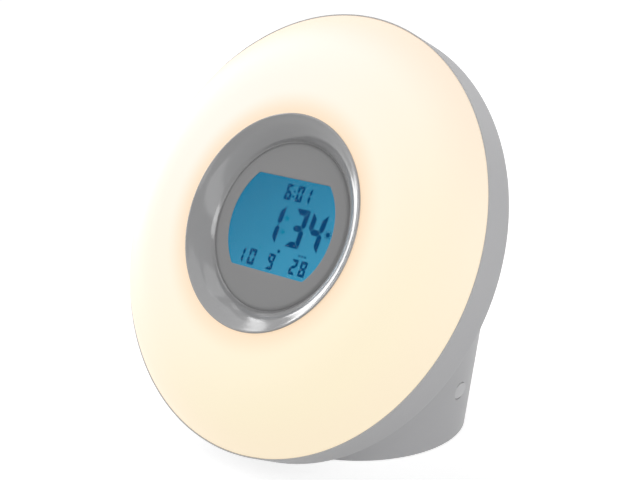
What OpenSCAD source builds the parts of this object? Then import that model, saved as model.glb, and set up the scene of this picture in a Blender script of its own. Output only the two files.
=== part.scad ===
// Sunrise alarm clock: a leaning round face with a glowing ring, a sunk LCD and a round foot.
// +Z is up and the face looks towards -Y. The origin is on the table, under the middle of the clock.

/* [Face] */
// Radius of the glowing diffuser
face_r = 85.6; // [85:0.2:87.4]
// Backward lean of the face from upright, degrees
tilt = 25.4; // [24.4:0.2:26.4]
// Height of the face centre above the table
face_z = 87.7; // [87.2:0.1:89]
// Distance of the face centre in front of the origin
face_forward = 25.6; // [24.6:0.2:26.6]
// Depth of the straight rim
rim_depth = 14.4; // [13.4:0.2:15]
// Rounding of the rim's rear edge
rim_round = 1.6; // [1.2:0.2:2.4]
// Height of the diffuser's crown in front of the rim
crown_h = 14; // [13.8:0.1:14.3]
// Radius at which the diffuser is highest
crown_r = 58; // [56:1:62]

/* [Display] */
// Outer radius of the funnel bezel
bezel_r = 42; // [41.8:0.1:42.4]
// Height of the bezel's edge in front of the rim
bezel_h = 13.8; // [13.6:0.1:14]
// Radius of the flat panel
panel_r = 32.7; // [32.2:0.1:32.9]
// Height of the panel in front of the rim
panel_h = 7.2; // [7:0.1:7.5]
// Radius of the window's round ends
window_r = 25.3; // [24:0.1:26]
// Half height of the window between its straight edges
window_half = 18; // [16:0.5:18.5]

/* [Housing] */
// Wall of the moulded housing
wall = 2.4; // [2:0.1:2.6]
// Depth of the bowl behind the rim plane
bowl_depth = 56.8; // [54:0.2:58]
// Distance of the foot's centre behind the origin
foot_y = 12.8; // [11.8:0.2:13.6]
// Radius of the foot at the table
foot_r = 44.7; // [44.4:0.1:46]
// Outward slope of the foot's side, degrees
foot_draft = 7.5; // [6.5:0.1:8]
// Height of the centre of the foot's ball top
ball_z = 68.9; // [67:0.1:70]
// Height of the rubber feet under the housing
pad_proud = 0.3; // [0.2:0.1:0.6]

/* [Keys] */
// Radius of a rear key
key_r = 5.5; // [4.5:0.1:6]
// Distance of the rear keys from the face's axis
key_ring = 60; // [58:0.5:62]
// Angle between two rear keys, degrees
key_step = 22; // [20:1:23]
// Travel of every key
key_travel = 0.8; // [0.5:0.1:0.8]
// Radius of the side key
side_key_r = 3.6; // [3:0.1:4]
// Downward slope of the side key's face, degrees
side_key_dip = 16; // [12:1:18]
// Height of the side key above the table
side_key_z = 21.6; // [21:0.1:24]

/* [Sound and power] */
// Radius of the speaker's flange
speaker_r = 25; // [24:0.5:25.5]
// Height of the speaker's axis
speaker_z = 70; // [68:0.5:72]
// Number of grille slots
slot_count = 9; // [5:2:9]
// Radius of the backup cells
cell_r = 5.25; // [5:0.05:5.25]
// Length of the backup cells
cell_l = 44.5; // [43:0.5:44.5]
// Number of light-emitting chips on the inner ring
led_inner = 12; // [8:1:16]
// Number of light-emitting chips on the outer ring
led_outer = 18; // [12:1:22]

/* [Hidden] */
$fn = 96;

housing_grey = [0.70, 0.70, 0.71];
bezel_grey = [0.62, 0.62, 0.63];
panel_grey = [0.52, 0.52, 0.53];
glow_cream = [1.0, 0.95, 0.85];
board_green = [0.10, 0.35, 0.20];
chip_black = [0.12, 0.12, 0.13];
steel_grey = [0.62, 0.63, 0.65];
lead_red = [0.65, 0.12, 0.10];

over = 1;                  // how far a cutting shape runs past what it cuts
fine = 32;                 // facets of the small holes and shanks
gap = 0.2;                 // clearance between fixed mouldings
play = 0.1;                // gap left where one piece rests on another
slip = 0.3;                // clearance round a key
lip = 0.6;                 // housing lip round the diffuser
rim_r = face_r + lip;
rim_inner = rim_r - wall;
rebate = 2.6;              // depth of the step that the diffuser sits in
bowl_edge = rim_r - 0.75 * rim_round;
bowl_c = (bowl_edge * bowl_edge + rim_depth * rim_depth - bowl_depth * bowl_depth)
    / (2 * (bowl_depth - rim_depth));
bowl_q = bowl_c + bowl_depth;
crown_out = arc_r(face_r - crown_r, crown_h);
lip_t = 0.55;              // thickness of the bezel's lip over the diffuser
lip_over = 0.8;            // reach of that lip past the bezel's tube
crown_dip = crown_h + lip_t + play - bezel_h;    // drop from the crown to the bezel
seat = 0.5;                // width of the diffuser under the bezel's lip
crown_in = arc_r(crown_r - bezel_r, crown_dip);
ball_tangent = (foot_r + tan(foot_draft) * ball_z) * cos(foot_draft);
ball_r = ball_tangent + 0.15;
foot_clip = 8;             // the foot starts this far behind the rim plane
edge_round = 0.6;          // rounding of the foot's lower edge
clip_half = 150;           // half size of the block that clips the foot
post_r = 3.2;              // posts of the tray and the base plate
pilot_r = 1.15;
free_r = 1.5;              // clearance hole for their screws
small_post_r = 2.6;        // posts of the boards and the speaker
small_pilot_r = 0.95;
small_free_r = 1.1;
base_post_top = 22;
sink = 1.4;                // depth of the screw heads in the base plate
plate_t = 2.4;             // thickness of the base plate
plate_r = foot_r - wall / cos(foot_draft) - gap;
plate_top = pad_proud + plate_t;

tray_z = -8;               // back of the reflector tray
tray_t = 2;
tray_hole = 35.5;
sleeve_r = 46;              // wall between the lamp and the display
sleeve_t = 1.4;
boss_ring = 38;            // circle of the bezel's screw bosses
tray_post_r = 74;          // where the tray's screws stand
board_t = 1.6;
led_in = 50;
led_out = 79;
lamp_way = 54;             // where the lamp leads pass through the tray
chip_w = 3.5;
chip_t = 1.2;
main_z = -13.2;            // front of the main board
main_w = 96;
main_h = 56;
main_y = -6;
main_post = [[42, 16], [42, -28], [-42, 16], [-42, -28]];
header_at = [[-34, -22], [0, -30], [20, -30], [0, 16], [38, -12], [-14, -30]];
header_h = 5;
header_back = main_z - board_t - header_h - play;
straight = 3;              // every lead leaves its header straight
lead_r = 0.6;
key_board_z = -17;         // front of the key board
switch_h = 3.5;
plunger_h = 1.5;
key_count = 5;             // rear keys in the arc
key_rim = 1.2;             // width and thickness of the flange that keeps a key in
key_stem_z = key_board_z - board_t - switch_h - plunger_h - key_travel - play;
flange_z = bowl_at(key_ring + key_r + key_rim, wall) + gap;
key_proud = 1;
key_post_ang = [90 - 1.5 * key_step, 90 + 1.5 * key_step];

speaker_y = foot_y + 36;   // seat of the speaker
speaker_screw_ring = speaker_r + 3.6;
magnet_r = 15;
clamp_z = -2.4;            // rear of the clamp over the speaker's flange
clamp_t = 0.8;
jack_z = 14;
jack_r = 4.4;              // collar of the jack
jack_y = foot_y + foot_r + tan(foot_draft) * jack_z - 0.4;
jack_bore = 3.1;
jack_mouth = 4;
jack_deep = 10.5;          // depth of the socket
jack_pin_r = 1.05;
jack_w = 9;
jack_h = 11;
jack_body_l = 13;
jack_back = jack_y - 3.6;  // front of the jack's body, behind its collar
base_screw_ring = 38.6;
pad_ring = 36.6;
pad_r = 4.4;
pad_sunk = 1;              // depth of a rubber foot in the base plate
tube_out = bezel_r - lip_over;    // tube of the bezel
tube_in = tube_out - 2;
lcd_r = 31.2;
lcd_board_r = 34.6;
frame_post = 37.4;         // circle of the screws that hold the LCD frame
frame_top = panel_h - 3.9;
frame_low = panel_h - 7.6;
frame_flange = frame_low + 1.6;
lcd_screw_ring = 30.5;     // circle of the screws between the display's board and frame
strip_y = 20.5;            // distance of the contact strips from the middle
strip_l = 44;
light_w = 50;              // backlight plate
light_h = 38;
pocket = 0.2;              // free space round what sits in the LCD frame
bay_x = 25.4;              // half length of the battery bay
bay_y = 11.5;
bay_wall = 1.4;
bay_top = 14.6;
bay_block_z = 5.4;         // top of the thick frame round the bay
door_x = 26.2;
door_y = 13.2;
door_t = 2;
hinge_y = -12;
knuckle_r = 1.4;
hinge_z = pad_proud + knuckle_r;
trunnion_r = 0.9;
trunnion_l = 1.6;
latch_x = 4;
latch_t = 1.2;
latch_rise = 1;
trunnion_play = 0.05;
notch_x = 5;                // half width of the finger notch at the door
notch_y = 3.5;
notch_deep = 1.6;
cell_pitch = 11.2;
cell_z = 3.4 + cell_r;
contact_t = 0.5;

side_y = foot_y + 7.7;     // the side key's place along the flank
side_proud = 0.7;          // height of the side key's middle over the flank
side_flange = 5.2;         // depth of its flange under the surface
side_stem = 6.6;           // depth of its stem's end
side_board_depth = 10;
side_x = sqrt(pow(foot_r + tan(foot_draft) * side_key_z, 2) - pow(side_y - foot_y, 2));

// Point on the face frame, given in the table frame
function from_face(p) = [p.x,
    -face_forward + p.y * sin(tilt) - p.z * cos(tilt),
    face_z + p.y * cos(tilt) + p.z * sin(tilt)];
function bowl_at(rho, inset) = bowl_c - sqrt(pow(bowl_q - inset, 2) - rho * rho);
// Radius of an arc that falls by drop over a width, starting level
function arc_r(width, drop) = (width * width + drop * drop) / (2 * drop);
function side_point(depth) = [side_x - depth * cos(side_key_dip), side_y,
    side_key_z + depth * sin(side_key_dip)];

// Face frame: x to the right, y up the face, z out of it, zero at the rim's front edge
module in_face() {
    translate([0, -face_forward, face_z]) rotate([90 - tilt, 0, 0]) children();
}

// Foot frame: on the table, under the middle of the foot
module in_foot() {
    translate([0, foot_y, 0]) children();
}

// Speaker frame: z along the speaker's axis, out of the back
module in_speaker(y) {
    translate([0, y, speaker_z]) rotate([-90, 0, 0]) children();
}

// Side key frame: z out of the flank, zero on the surface
module in_side(depth) {
    translate(side_point(depth)) rotate([0, 90 + side_key_dip, 0]) children();
}

// Rear key frame: on the face frame at key i of the arc
module at_key(i) {
    rotate([0, 0, 90 + (i - 2) * key_step]) translate([key_ring, 0, 0]) children();
}

// ---------- housing ----------

module foot_form(inset, low) {
    contact_z = ball_z - (ball_tangent - inset) * sin(foot_draft);
    side = inset / cos(foot_draft);
    in_foot() {
        translate([0, 0, low])
            cylinder(h = contact_z - low, r1 = foot_r + tan(foot_draft) * low - side,
                r2 = foot_r + tan(foot_draft) * contact_z - side);
        translate([0, 0, ball_z]) sphere(r = ball_r - inset);
    }
}

module foot_clipped(inset, low, clip) {
    intersection() {
        foot_form(inset, low);
        in_face() translate([-clip_half, -clip_half, -clip_half - clip])
            cube([2 * clip_half, 2 * clip_half, clip_half]);
    }
}

module foot_edge_cut() {
    edge = foot_r + tan(foot_draft) * pad_proud;
    in_foot() translate([0, 0, pad_proud]) rotate_extrude()
        translate([edge - edge_round, 0]) difference() {
            translate([0, -over]) square([edge_round + 2 * over, edge_round + over]);
            translate([0, edge_round]) circle(r = edge_round);
            translate([-over, edge_round - 0.01]) square([edge_round + 1.9 * over, over]);
        }
}

module outer_form() {
    in_face() rotate_extrude() {
        translate([0, -rim_depth]) square([rim_r - rim_round, rim_depth]);
        translate([0, rim_round - rim_depth]) square([rim_r, rim_depth - rim_round]);
        translate([rim_r - rim_round, rim_round - rim_depth]) circle(r = rim_round);
        intersection() {
            translate([0, bowl_c]) circle(r = bowl_q);
            translate([0, -bowl_depth - over])
                square([rim_r, bowl_depth + over - rim_depth + rim_round / 2]);
        }
    }
    difference() {
        foot_clipped(0, pad_proud, foot_clip);
        foot_edge_cut();
    }
}

module inner_form() {
    in_face() rotate_extrude() {
        intersection() {
            translate([0, bowl_c]) circle(r = bowl_q - wall);
            translate([0, -bowl_depth]) square([rim_inner, bowl_depth + over]);
        }
        translate([0, -rebate]) square([face_r + play, rebate + over]);
    }
    foot_clipped(wall, 0, foot_clip - over);
}

module grille_cut() {
    pitch = 2 * (speaker_r - 3.5) / slot_count;
    half_w = 1.2;
    grille_r = speaker_r - 3;
    depth = 14;
    for (i = [0 : slot_count - 1]) {
        z = (i - (slot_count - 1) / 2) * pitch;
        half = sqrt(pow(grille_r, 2) - z * z) - half_w;
        in_speaker(foot_y + ball_r + 5 - depth) translate([0, z, 0]) linear_extrude(height = depth) {
            square([2 * half, 2 * half_w], center = true);
            for (s = [-1, 1]) translate([s * half, 0]) circle(r = half_w, $fn = 24);
        }
    }
}

module housing_openings() {
    grille_cut();
    in_face() for (i = [0 : key_count - 1]) at_key(i)
        translate([0, 0, -bowl_depth]) cylinder(h = bowl_depth + key_board_z, r = key_r + slip);
    in_side(side_flange - gap) cylinder(h = side_flange + 6, r = side_key_r + slip);
    translate([0, jack_y + 8, jack_z]) rotate([90, 0, 0]) cylinder(h = 14, r = jack_r + gap);
}

module screw_post(r, hole_r, h) {
    hole = 8;
    difference() {
        cylinder(h = h, r = r);
        translate([0, 0, h - hole]) cylinder(h = hole + over, r = hole_r, $fn = fine);
    }
}

module housing_posts() {
    intersection() {
        outer_form();
        union() {
            // posts of the reflector tray
            in_face() for (a = [45 : 90 : 315]) rotate([0, 0, a])
                translate([tray_post_r, 0, -40]) screw_post(post_r, pilot_r, 40 + tray_z);
            // posts of the key board
            in_face() for (a = key_post_ang) rotate([0, 0, a])
                translate([key_ring, 0, -50])
                    screw_post(small_post_r, small_pilot_r, 50 + key_board_z - board_t);
            // posts of the base plate, each with a rib to the wall
            in_foot() for (a = [45 : 90 : 315]) rotate([0, 0, a]) {
                translate([base_screw_ring, 0, base_post_top]) rotate([180, 0, 0])
                    screw_post(post_r, pilot_r, base_post_top - plate_top);
                translate([base_screw_ring + 1.4, -1, plate_top]) cube([8, 2, 18]);
            }
            // seat of the speaker
            in_speaker(speaker_y) difference() {
                cylinder(h = 20, r = speaker_r + 1.2);
                translate([0, 0, -1]) cylinder(h = 22, r = speaker_r - 1);
            }
            in_speaker(speaker_y) for (a = [45, 135, 225, 315]) rotate([0, 0, a])
                translate([speaker_screw_ring, 0, 12]) rotate([180, 0, 0])
                    screw_post(small_post_r, small_pilot_r, 12);
            // posts of the side key's board
            for (s = [-1, 1]) in_side(side_board_depth) translate([0, s * 7, 0]) cylinder(h = 12, r = 1.6);
        }
    }
}

module rear_housing() {
    color(housing_grey) {
        difference() {
            outer_form();
            inner_form();
            housing_openings();
        }
        difference() {
            housing_posts();
            housing_openings();
        }
    }
}

// ---------- base ----------

module base_plate() {
    block_x = door_x + trunnion_l + 1.6;
    block_low = hinge_y - knuckle_r - 2.2;
    channel = knuckle_r + slip;
    color(housing_grey) in_foot() difference() {
        union() {
            translate([0, 0, pad_proud]) cylinder(h = plate_t, r = plate_r);
            translate([-bay_x - bay_wall, -bay_y - bay_wall, pad_proud])
                cube([2 * (bay_x + bay_wall), 2 * (bay_y + bay_wall), bay_top + bay_wall - pad_proud]);
            translate([-block_x, block_low, pad_proud])
                cube([2 * block_x, door_y + 2 - block_low, bay_block_z - pad_proud]);
            jack_cradle();
        }
        // bay for the cells
        translate([-bay_x, -bay_y, -over]) cube([2 * bay_x, 2 * bay_y, bay_top + over]);
        // recess for the door, the knuckle and the latch
        translate([-door_x - slip, hinge_y, -over])
            cube([2 * (door_x + slip), door_y + slip - hinge_y, over + pad_proud + door_t + gap]);
        translate([-door_x - slip, hinge_y - channel, -over])
            cube([2 * (door_x + slip), 2 * channel, over + hinge_z + channel]);
        translate([-latch_x - slip, door_y - latch_t - 2 * slip, -over])
            cube([2 * (latch_x + slip), latch_t + 3 * slip, over + pad_proud + door_t + latch_rise + slip]);
        // sockets for the door's trunnions
        translate([-door_x - trunnion_l - slip, hinge_y, hinge_z]) rotate([0, 90, 0])
            cylinder(h = 2 * (door_x + trunnion_l + slip), r = trunnion_r + trunnion_play, $fn = fine);
        // finger notch at the door's free edge
        translate([-notch_x, door_y, -over]) cube([2 * notch_x, notch_y, over + pad_proud + notch_deep]);
        for (a = [0 : 90 : 270]) rotate([0, 0, a]) {
            translate([pad_ring, 0, -over]) cylinder(h = over + pad_proud + pad_sunk, r = pad_r + 0.05);
            rotate([0, 0, 45]) translate([base_screw_ring, 0, -over]) {
                cylinder(h = 10, r = free_r, $fn = fine);
                cylinder(h = over + pad_proud + sink, r = 2.8, $fn = fine);
            }
        }
    }
}

// Pedestal, cheeks and back stop that hold the power jack
module jack_cradle() {
    back = jack_back - jack_body_l - foot_y;
    top = plate_top + 9;
    cheek = 1.6;
    difference() {
        translate([-jack_w / 2 - cheek, back - 1.8, plate_top - 0.5])
            cube([jack_w + 2 * cheek, jack_body_l - 1, top - plate_top + 0.5]);
        translate([-jack_w / 2 - play, back - play, jack_z - jack_h / 2 - play])
            cube([jack_w + 2 * play, jack_body_l + 5, jack_h]);
        translate([-2, back - 5, jack_z - jack_h / 2 - play]) cube([4, 10, jack_h]);
    }
}

module battery_door() {
    color(housing_grey) in_foot() {
        translate([-door_x, hinge_y, pad_proud]) cube([2 * door_x, door_y - hinge_y, door_t]);
        translate([-door_x, hinge_y, hinge_z]) rotate([0, 90, 0])
            cylinder(h = 2 * door_x, r = knuckle_r, $fn = fine);
        translate([-door_x - trunnion_l, hinge_y, hinge_z]) rotate([0, 90, 0])
            cylinder(h = 2 * (door_x + trunnion_l), r = trunnion_r, $fn = fine);
        // latch tongue
        translate([-latch_x, door_y - latch_t, pad_proud]) cube([2 * latch_x, latch_t, door_t + latch_rise]);
    }
}

module battery_cells() {
    nub = 0.8;
    nub_r = 1.9;
    color([0.35, 0.55, 0.65]) in_foot() for (s = [-1, 1])
        translate([-s * cell_l / 2, s * cell_pitch / 2, cell_z]) rotate([0, s * 90, 0]) {
            cylinder(h = cell_l - nub, r = cell_r);
            translate([0, 0, cell_l - nub]) cylinder(h = nub, r = nub_r);
        }
}

// Plate on the bay's end wall with a leaf for each cell
module contact_leaf(reach) {
    width = 3;
    rise = 2;
    translate([-contact_t, -width / 2, -rise]) cube([contact_t, width, 2 * rise]);
    translate([-contact_t, -width / 2, rise - contact_t]) cube([reach, width, contact_t]);
}

module battery_contacts() {
    end = bay_x - play;
    reach = end - cell_l / 2 - play;
    w = 8;
    h = 9;
    color(steel_grey) in_foot() {
        for (s = [-1, 1]) {
            translate([end - contact_t, (s * cell_pitch - w) / 2, cell_z - h / 2]) cube([contact_t, w, h]);
            for (side = [-1, 1]) translate([side * (cell_l / 2 + play), s * cell_pitch / 2, cell_z])
                rotate([0, 0, side > 0 ? 0 : 180]) translate([contact_t, 0, 0]) contact_leaf(reach);
        }
        translate([-end, -(cell_pitch + w) / 2, cell_z - h / 2]) cube([contact_t, cell_pitch + w, h]);
    }
}

module rubber_feet() {
    color([0.2, 0.2, 0.2]) in_foot() for (a = [0 : 90 : 270]) rotate([0, 0, a])
        translate([pad_ring, 0, 0]) cylinder(h = pad_proud + pad_sunk, r = pad_r);
}

// ---------- power inlet and speaker ----------

module dc_jack() {
    color(chip_black) difference() {
        union() {
            translate([-jack_w / 2, jack_back - jack_body_l, jack_z - jack_h / 2])
                cube([jack_w, jack_body_l, jack_h]);
            translate([0, jack_y, jack_z]) rotate([90, 0, 0]) cylinder(h = 8, r = jack_r);
        }
        translate([0, jack_y + over, jack_z]) rotate([90, 0, 0])
            cylinder(h = over + jack_mouth, r = jack_bore);
        translate([0, jack_y - over, jack_z]) rotate([90, 0, 0])
            cylinder(h = jack_deep - over, r = jack_bore - 0.25);
    }
    color(steel_grey) translate([0, jack_y - jack_mouth - 0.3, jack_z]) rotate([90, 0, 0])
        cylinder(h = jack_deep - 3.5, r = jack_pin_r, $fn = fine);
}

module speaker_frame() {
    color(chip_black) in_speaker(speaker_y) difference() {
        union() {
            translate([0, 0, -1.5]) cylinder(h = 1.4, r = speaker_r);
            translate([0, 0, -9]) cylinder(h = 7.6, r1 = magnet_r - 2, r2 = speaker_r - 2.5);
        }
        translate([0, 0, -1.4]) cylinder(h = 3, r = speaker_r - 3.4);
        translate([0, 0, -8.2]) cylinder(h = 6.9, r1 = magnet_r - 3.4, r2 = speaker_r - 3.4);
        translate([0, 0, -10]) cylinder(h = 4, r = 8);
        for (a = [0 : 90 : 270]) rotate([0, 0, a + 45]) translate([17, 0, -5]) rotate([0, 90, 0])
            cylinder(h = 20, r = 2.2, center = true, $fn = 24);
    }
}

module speaker_cone() {
    color([0.16, 0.16, 0.17]) in_speaker(speaker_y) difference() {
        union() {
            translate([0, 0, -6.6]) cylinder(h = 5, r1 = 7, r2 = speaker_r - 4.4);
            translate([0, 0, -1.4]) cylinder(h = 0.6, r = speaker_r - 3.6);
            translate([0, 0, -1.7]) cylinder(h = 0.4, r = speaker_r - 4.4);
            translate([0, 0, -7.8]) cylinder(h = 1.3, r = 6.8);
        }
        translate([0, 0, -6]) cylinder(h = 5.6, r1 = 6.2, r2 = speaker_r - 4.8);
    }
}

module speaker_magnet() {
    color(steel_grey) in_speaker(speaker_y) {
        translate([0, 0, -16.5]) cylinder(h = 7.4, r = magnet_r);
    }
}

module speaker_clamp() {
    tab = 5.6;
    color(steel_grey) in_speaker(speaker_y) difference() {
        union() {
            translate([0, 0, clamp_z]) cylinder(h = clamp_t, r = speaker_r + 1);
            for (a = [45 : 90 : 315]) rotate([0, 0, a])
                translate([speaker_screw_ring, 0, clamp_z]) cylinder(h = clamp_t, r = tab / 2);
            for (a = [45 : 90 : 315]) rotate([0, 0, a])
                translate([speaker_r - 1, -tab / 2, clamp_z]) cube([4.6, tab, clamp_t]);
        }
        translate([0, 0, -3]) cylinder(h = 3, r = speaker_r - 1.8);
        for (a = [45 : 90 : 315]) rotate([0, 0, a])
            translate([speaker_screw_ring, 0, -3]) cylinder(h = 3, r = small_free_r, $fn = fine);
    }
}

// ---------- light ----------

// Area under the domed surface, in the half plane of the face axis
module crown_profile(inset) {
    translate([crown_r, crown_h - crown_out]) intersection() {
        circle(r = crown_out - inset);
        translate([0, -crown_h]) square([face_r - crown_r, crown_h + crown_out]);
    }
    translate([crown_r, crown_h - crown_in]) intersection() {
        circle(r = crown_in - inset);
        translate([bezel_r - seat - crown_r, 0]) square([crown_r - bezel_r + seat, crown_in]);
    }
}

module diffuser() {
    skin = 2;
    skirt = 1.7;
    land = 0.3;              // the skirt stands this far over the dome's foot
    color(glow_cream) in_face() rotate_extrude() {
        intersection() {
            difference() {
                crown_profile(0);
                crown_profile(skin);
            }
            square([face_r, crown_h]);
        }
        translate([face_r - skirt, -rebate + play]) square([skirt, rebate - play + land]);
        intersection() {
            crown_profile(0);
            translate([face_r - skirt, 0]) square([skirt, crown_h]);
        }
    }
}

module reflector_tray() {
    color([0.95, 0.95, 0.94]) in_face() difference() {
        union() {
            translate([0, 0, tray_z]) cylinder(h = tray_t, r = rim_inner - gap);
            translate([0, 0, tray_z]) difference() {
                cylinder(h = -tray_z - rebate - gap, r = rim_inner - gap);
                translate([0, 0, -over]) cylinder(h = 20, r = rim_inner - gap - sleeve_t);
            }
            translate([0, 0, tray_z]) difference() {
                cylinder(h = bezel_h - 3.4 - tray_z, r = sleeve_r);
                translate([0, 0, -over]) cylinder(h = 40, r = sleeve_r - sleeve_t);
            }
            for (p = main_post) translate([p.x, p.y, main_z])
                cylinder(h = tray_z - main_z, r = small_post_r);
        }
        translate([0, 0, tray_z - over]) cylinder(h = 30, r = tray_hole);
        for (a = [45 : 90 : 315]) rotate([0, 0, a]) translate([tray_post_r, 0, tray_z - over])
            cylinder(h = 8, r = free_r, $fn = fine);
        for (a = [30 : 120 : 270]) rotate([0, 0, a]) translate([boss_ring, 0, tray_z - over])
            cylinder(h = 4, r = small_free_r, $fn = fine);
        for (p = main_post) translate([p.x, p.y, main_z - over])
            cylinder(h = 5, r = small_pilot_r, $fn = fine);
        // way through for the lamp leads
        translate([-3, -lamp_way - 2, tray_z - over]) cube([6, 4, 4]);
    }
}

module led_board() {
    color(board_green) in_face() translate([0, 0, tray_z + tray_t]) difference() {
        cylinder(h = board_t, r = led_out);
        translate([0, 0, -over]) cylinder(h = 4, r = led_in);
        for (a = [45 : 90 : 315]) rotate([0, 0, a]) translate([tray_post_r, 0, -over])
            cylinder(h = 4, r = free_r, $fn = fine);
    }
}

module led_ring(count, r) {
    for (i = [0 : count - 1]) rotate([0, 0, 360 * (i + 0.5) / count])
        translate([r, 0, tray_z + tray_t + board_t]) {
            translate([-chip_w / 2, -chip_w / 2, 0]) cube([chip_w, chip_w, chip_t]);
            translate([0, 0, chip_t]) cylinder(h = 0.2, r = 1.3, $fn = fine);
        }
}

module led_chips() {
    color([1, 0.9, 0.6]) in_face() {
        led_ring(led_inner, 57);
        led_ring(led_outer, 69);
    }
}

// ---------- display ----------

module window_outline(inset) {
    intersection() {
        circle(r = window_r - inset);
        square([2 * window_r, 2 * (window_half - inset)], center = true);
    }
}

module bezel_ring() {
    mouth = panel_r + 0.4;
    color(bezel_grey) in_face() difference() {
        union() {
            rotate_extrude() polygon([
                [mouth, panel_h - 2], [mouth, panel_h + 0.1], [mouth + 0.5, panel_h + 0.5],
                [bezel_r - 3, bezel_h - 1.6], [bezel_r - 0.9, bezel_h], [bezel_r - 0.3, bezel_h],
                [bezel_r, bezel_h - 0.3], [bezel_r, bezel_h - lip_t], [tube_out, bezel_h - lip_t],
                [tube_out, tray_z + tray_t], [tube_in, tray_z + tray_t], [tube_in, panel_h - 2]]);
            for (a = [30 : 120 : 270]) rotate([0, 0, a]) intersection() {
                translate([boss_ring, 0, tray_z + tray_t]) cylinder(h = 5, r = 2.4);
                translate([boss_ring - 8, -5, -10]) cube([tube_out - 0.5 - boss_ring + 8, 10, 30]);
            }
            for (a = [90 : 120 : 330]) rotate([0, 0, a]) translate([frame_post, 0, frame_flange + play])
                cylinder(h = panel_h - 1.5 - frame_flange, r = 1.6);
        }
        for (a = [90 : 120 : 330]) rotate([0, 0, a]) translate([frame_post, 0, frame_flange - 1])
            cylinder(h = 5.3, r = 0.8, $fn = fine);
        for (a = [30 : 120 : 270]) rotate([0, 0, a]) translate([boss_ring, 0, tray_z + tray_t - 1])
            cylinder(h = 5.5, r = small_pilot_r, $fn = fine);
    }
}

module display_panel() {
    plate = 1;
    flange_top = panel_h - 2.2;
    flange_t = 1.6;
    color(panel_grey) in_face() difference() {
        union() {
            translate([0, 0, flange_top - flange_t])
                cylinder(h = panel_h - flange_top + flange_t, r = panel_r);
            translate([0, 0, flange_top - flange_t]) cylinder(h = flange_t, r = panel_r + 3);
        }
        translate([0, 0, -over]) cylinder(h = panel_h - plate + over, r = lcd_r + gap);
        translate([0, 0, panel_h - 3]) linear_extrude(height = 6) window_outline(0);
    }
}

module display_lens() {
    color([0.85, 0.93, 0.97, 0.35]) in_face() translate([0, 0, panel_h - 0.95])
        linear_extrude(height = 0.8) window_outline(0.1);
}

module lcd_glass() {
    w = 54;
    h = 42;
    t = 2.3;
    color([0.25, 0.55, 0.75]) in_face() translate([0, 0, panel_h - 3.4]) intersection() {
        cylinder(h = t, r = lcd_r);
        translate([-w / 2, -h / 2, 0]) cube([w, h, t]);
    }
}

module backlight_plate() {
    color([0.75, 0.88, 0.95]) in_face() translate([-light_w / 2, -light_h / 2, panel_h - 7.3])
        cube([light_w, light_h, 3.8]);
}

module lcd_frame() {
    color([0.93, 0.93, 0.93]) in_face() translate([0, 0, frame_low]) difference() {
        union() {
            cylinder(h = frame_top - frame_low, r = lcd_board_r - gap);
            cylinder(h = frame_flange - frame_low, r = tube_in - play);
        }
        translate([-light_w / 2 - pocket, -light_h / 2 - pocket, -over])
            cube([light_w + 2 * pocket, light_h + 2 * pocket, 6]);
        for (s = [-1, 1]) translate([-strip_l / 2 - pocket, s * strip_y - 1 - play, -over])
            cube([strip_l + 2 * pocket, 2 + 2 * play, 6]);
        for (a = [0 : 90 : 270]) rotate([0, 0, a]) translate([lcd_screw_ring, 0, -over])
            cylinder(h = 4, r = small_pilot_r, $fn = fine);
        for (a = [90 : 120 : 330]) rotate([0, 0, a]) translate([frame_post, 0, -over])
            cylinder(h = 4, r = small_free_r, $fn = fine);
    }
}

module contact_strips() {
    color([0.85, 0.45, 0.55]) in_face() for (s = [-1, 1])
        translate([-strip_l / 2, s * strip_y - 1, frame_low]) cube([strip_l, 2, 4.2]);
}

module display_board() {
    color(board_green) in_face() translate([0, 0, frame_low - board_t]) difference() {
        cylinder(h = board_t, r = lcd_board_r);
        for (a = [0 : 90 : 270]) rotate([0, 0, a]) translate([lcd_screw_ring, 0, -over])
            cylinder(h = 4, r = small_free_r, $fn = fine);
    }
}

module display_chips() {
    back = frame_low - board_t;
    color(chip_black) in_face() {
        translate([0, 6, back - 1.2]) cylinder(h = 1.2, r = 7);
        translate([-20, -8, back - 1.4]) cube([7, 7, 1.4]);
        translate([14, 4, back - 1.6]) cube([8, 3, 1.6]);
        translate([-8, -20, back - 2.4]) cube([16, 4, 2.4]);
    }
}

// ---------- boards in the back ----------

module main_board() {
    color(board_green) in_face() difference() {
        translate([-main_w / 2, main_y - main_h / 2, main_z - board_t]) cube([main_w, main_h, board_t]);
        for (p = main_post) translate([p.x, p.y, main_z - 5]) cylinder(h = 8, r = small_free_r, $fn = fine);
    }
}

module board_chips() {
    back = main_z - board_t;
    color(chip_black) in_face() {
        translate([-8, -8, back - 1.6]) cube([14, 14, 1.6]);
        translate([18, -4, back - 1.8]) cube([8, 5, 1.8]);
        translate([-28, 2, back - 1.8]) cube([5, 10, 1.8]);
        translate([28, 8, back - 2.4]) cube([7, 6, 2.4]);
    }
}

module board_capacitors() {
    back = main_z - board_t;
    // place, radius and height of each
    cans = [[-20, -16, 4, 10], [-9, -22, 3, 8], [28, -8, 4, 10], [10, 14, 2.5, 7]];
    color([0.15, 0.18, 0.35]) in_face() for (p = cans)
        translate([p.x, p.y, back - p[3]]) cylinder(h = p[3], r = p.z, $fn = 48);
}

module wire_headers() {
    back = main_z - board_t;
    color([0.92, 0.90, 0.84]) in_face() for (p = header_at)
        translate([p.x - 4, p.y - 2.5, back - header_h]) cube([8, 5, header_h]);
}

module key_board() {
    span = 2 * key_step + 12;
    width = 16;
    color(board_green) in_face() translate([0, 0, key_board_z - board_t]) difference() {
        rotate([0, 0, 90 - span]) rotate_extrude(angle = 2 * span)
            translate([key_ring - width / 2, 0]) square([width, board_t]);
        for (a = key_post_ang) rotate([0, 0, a]) translate([key_ring, 0, -over])
            cylinder(h = 4, r = small_free_r, $fn = fine);
    }
}

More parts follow.
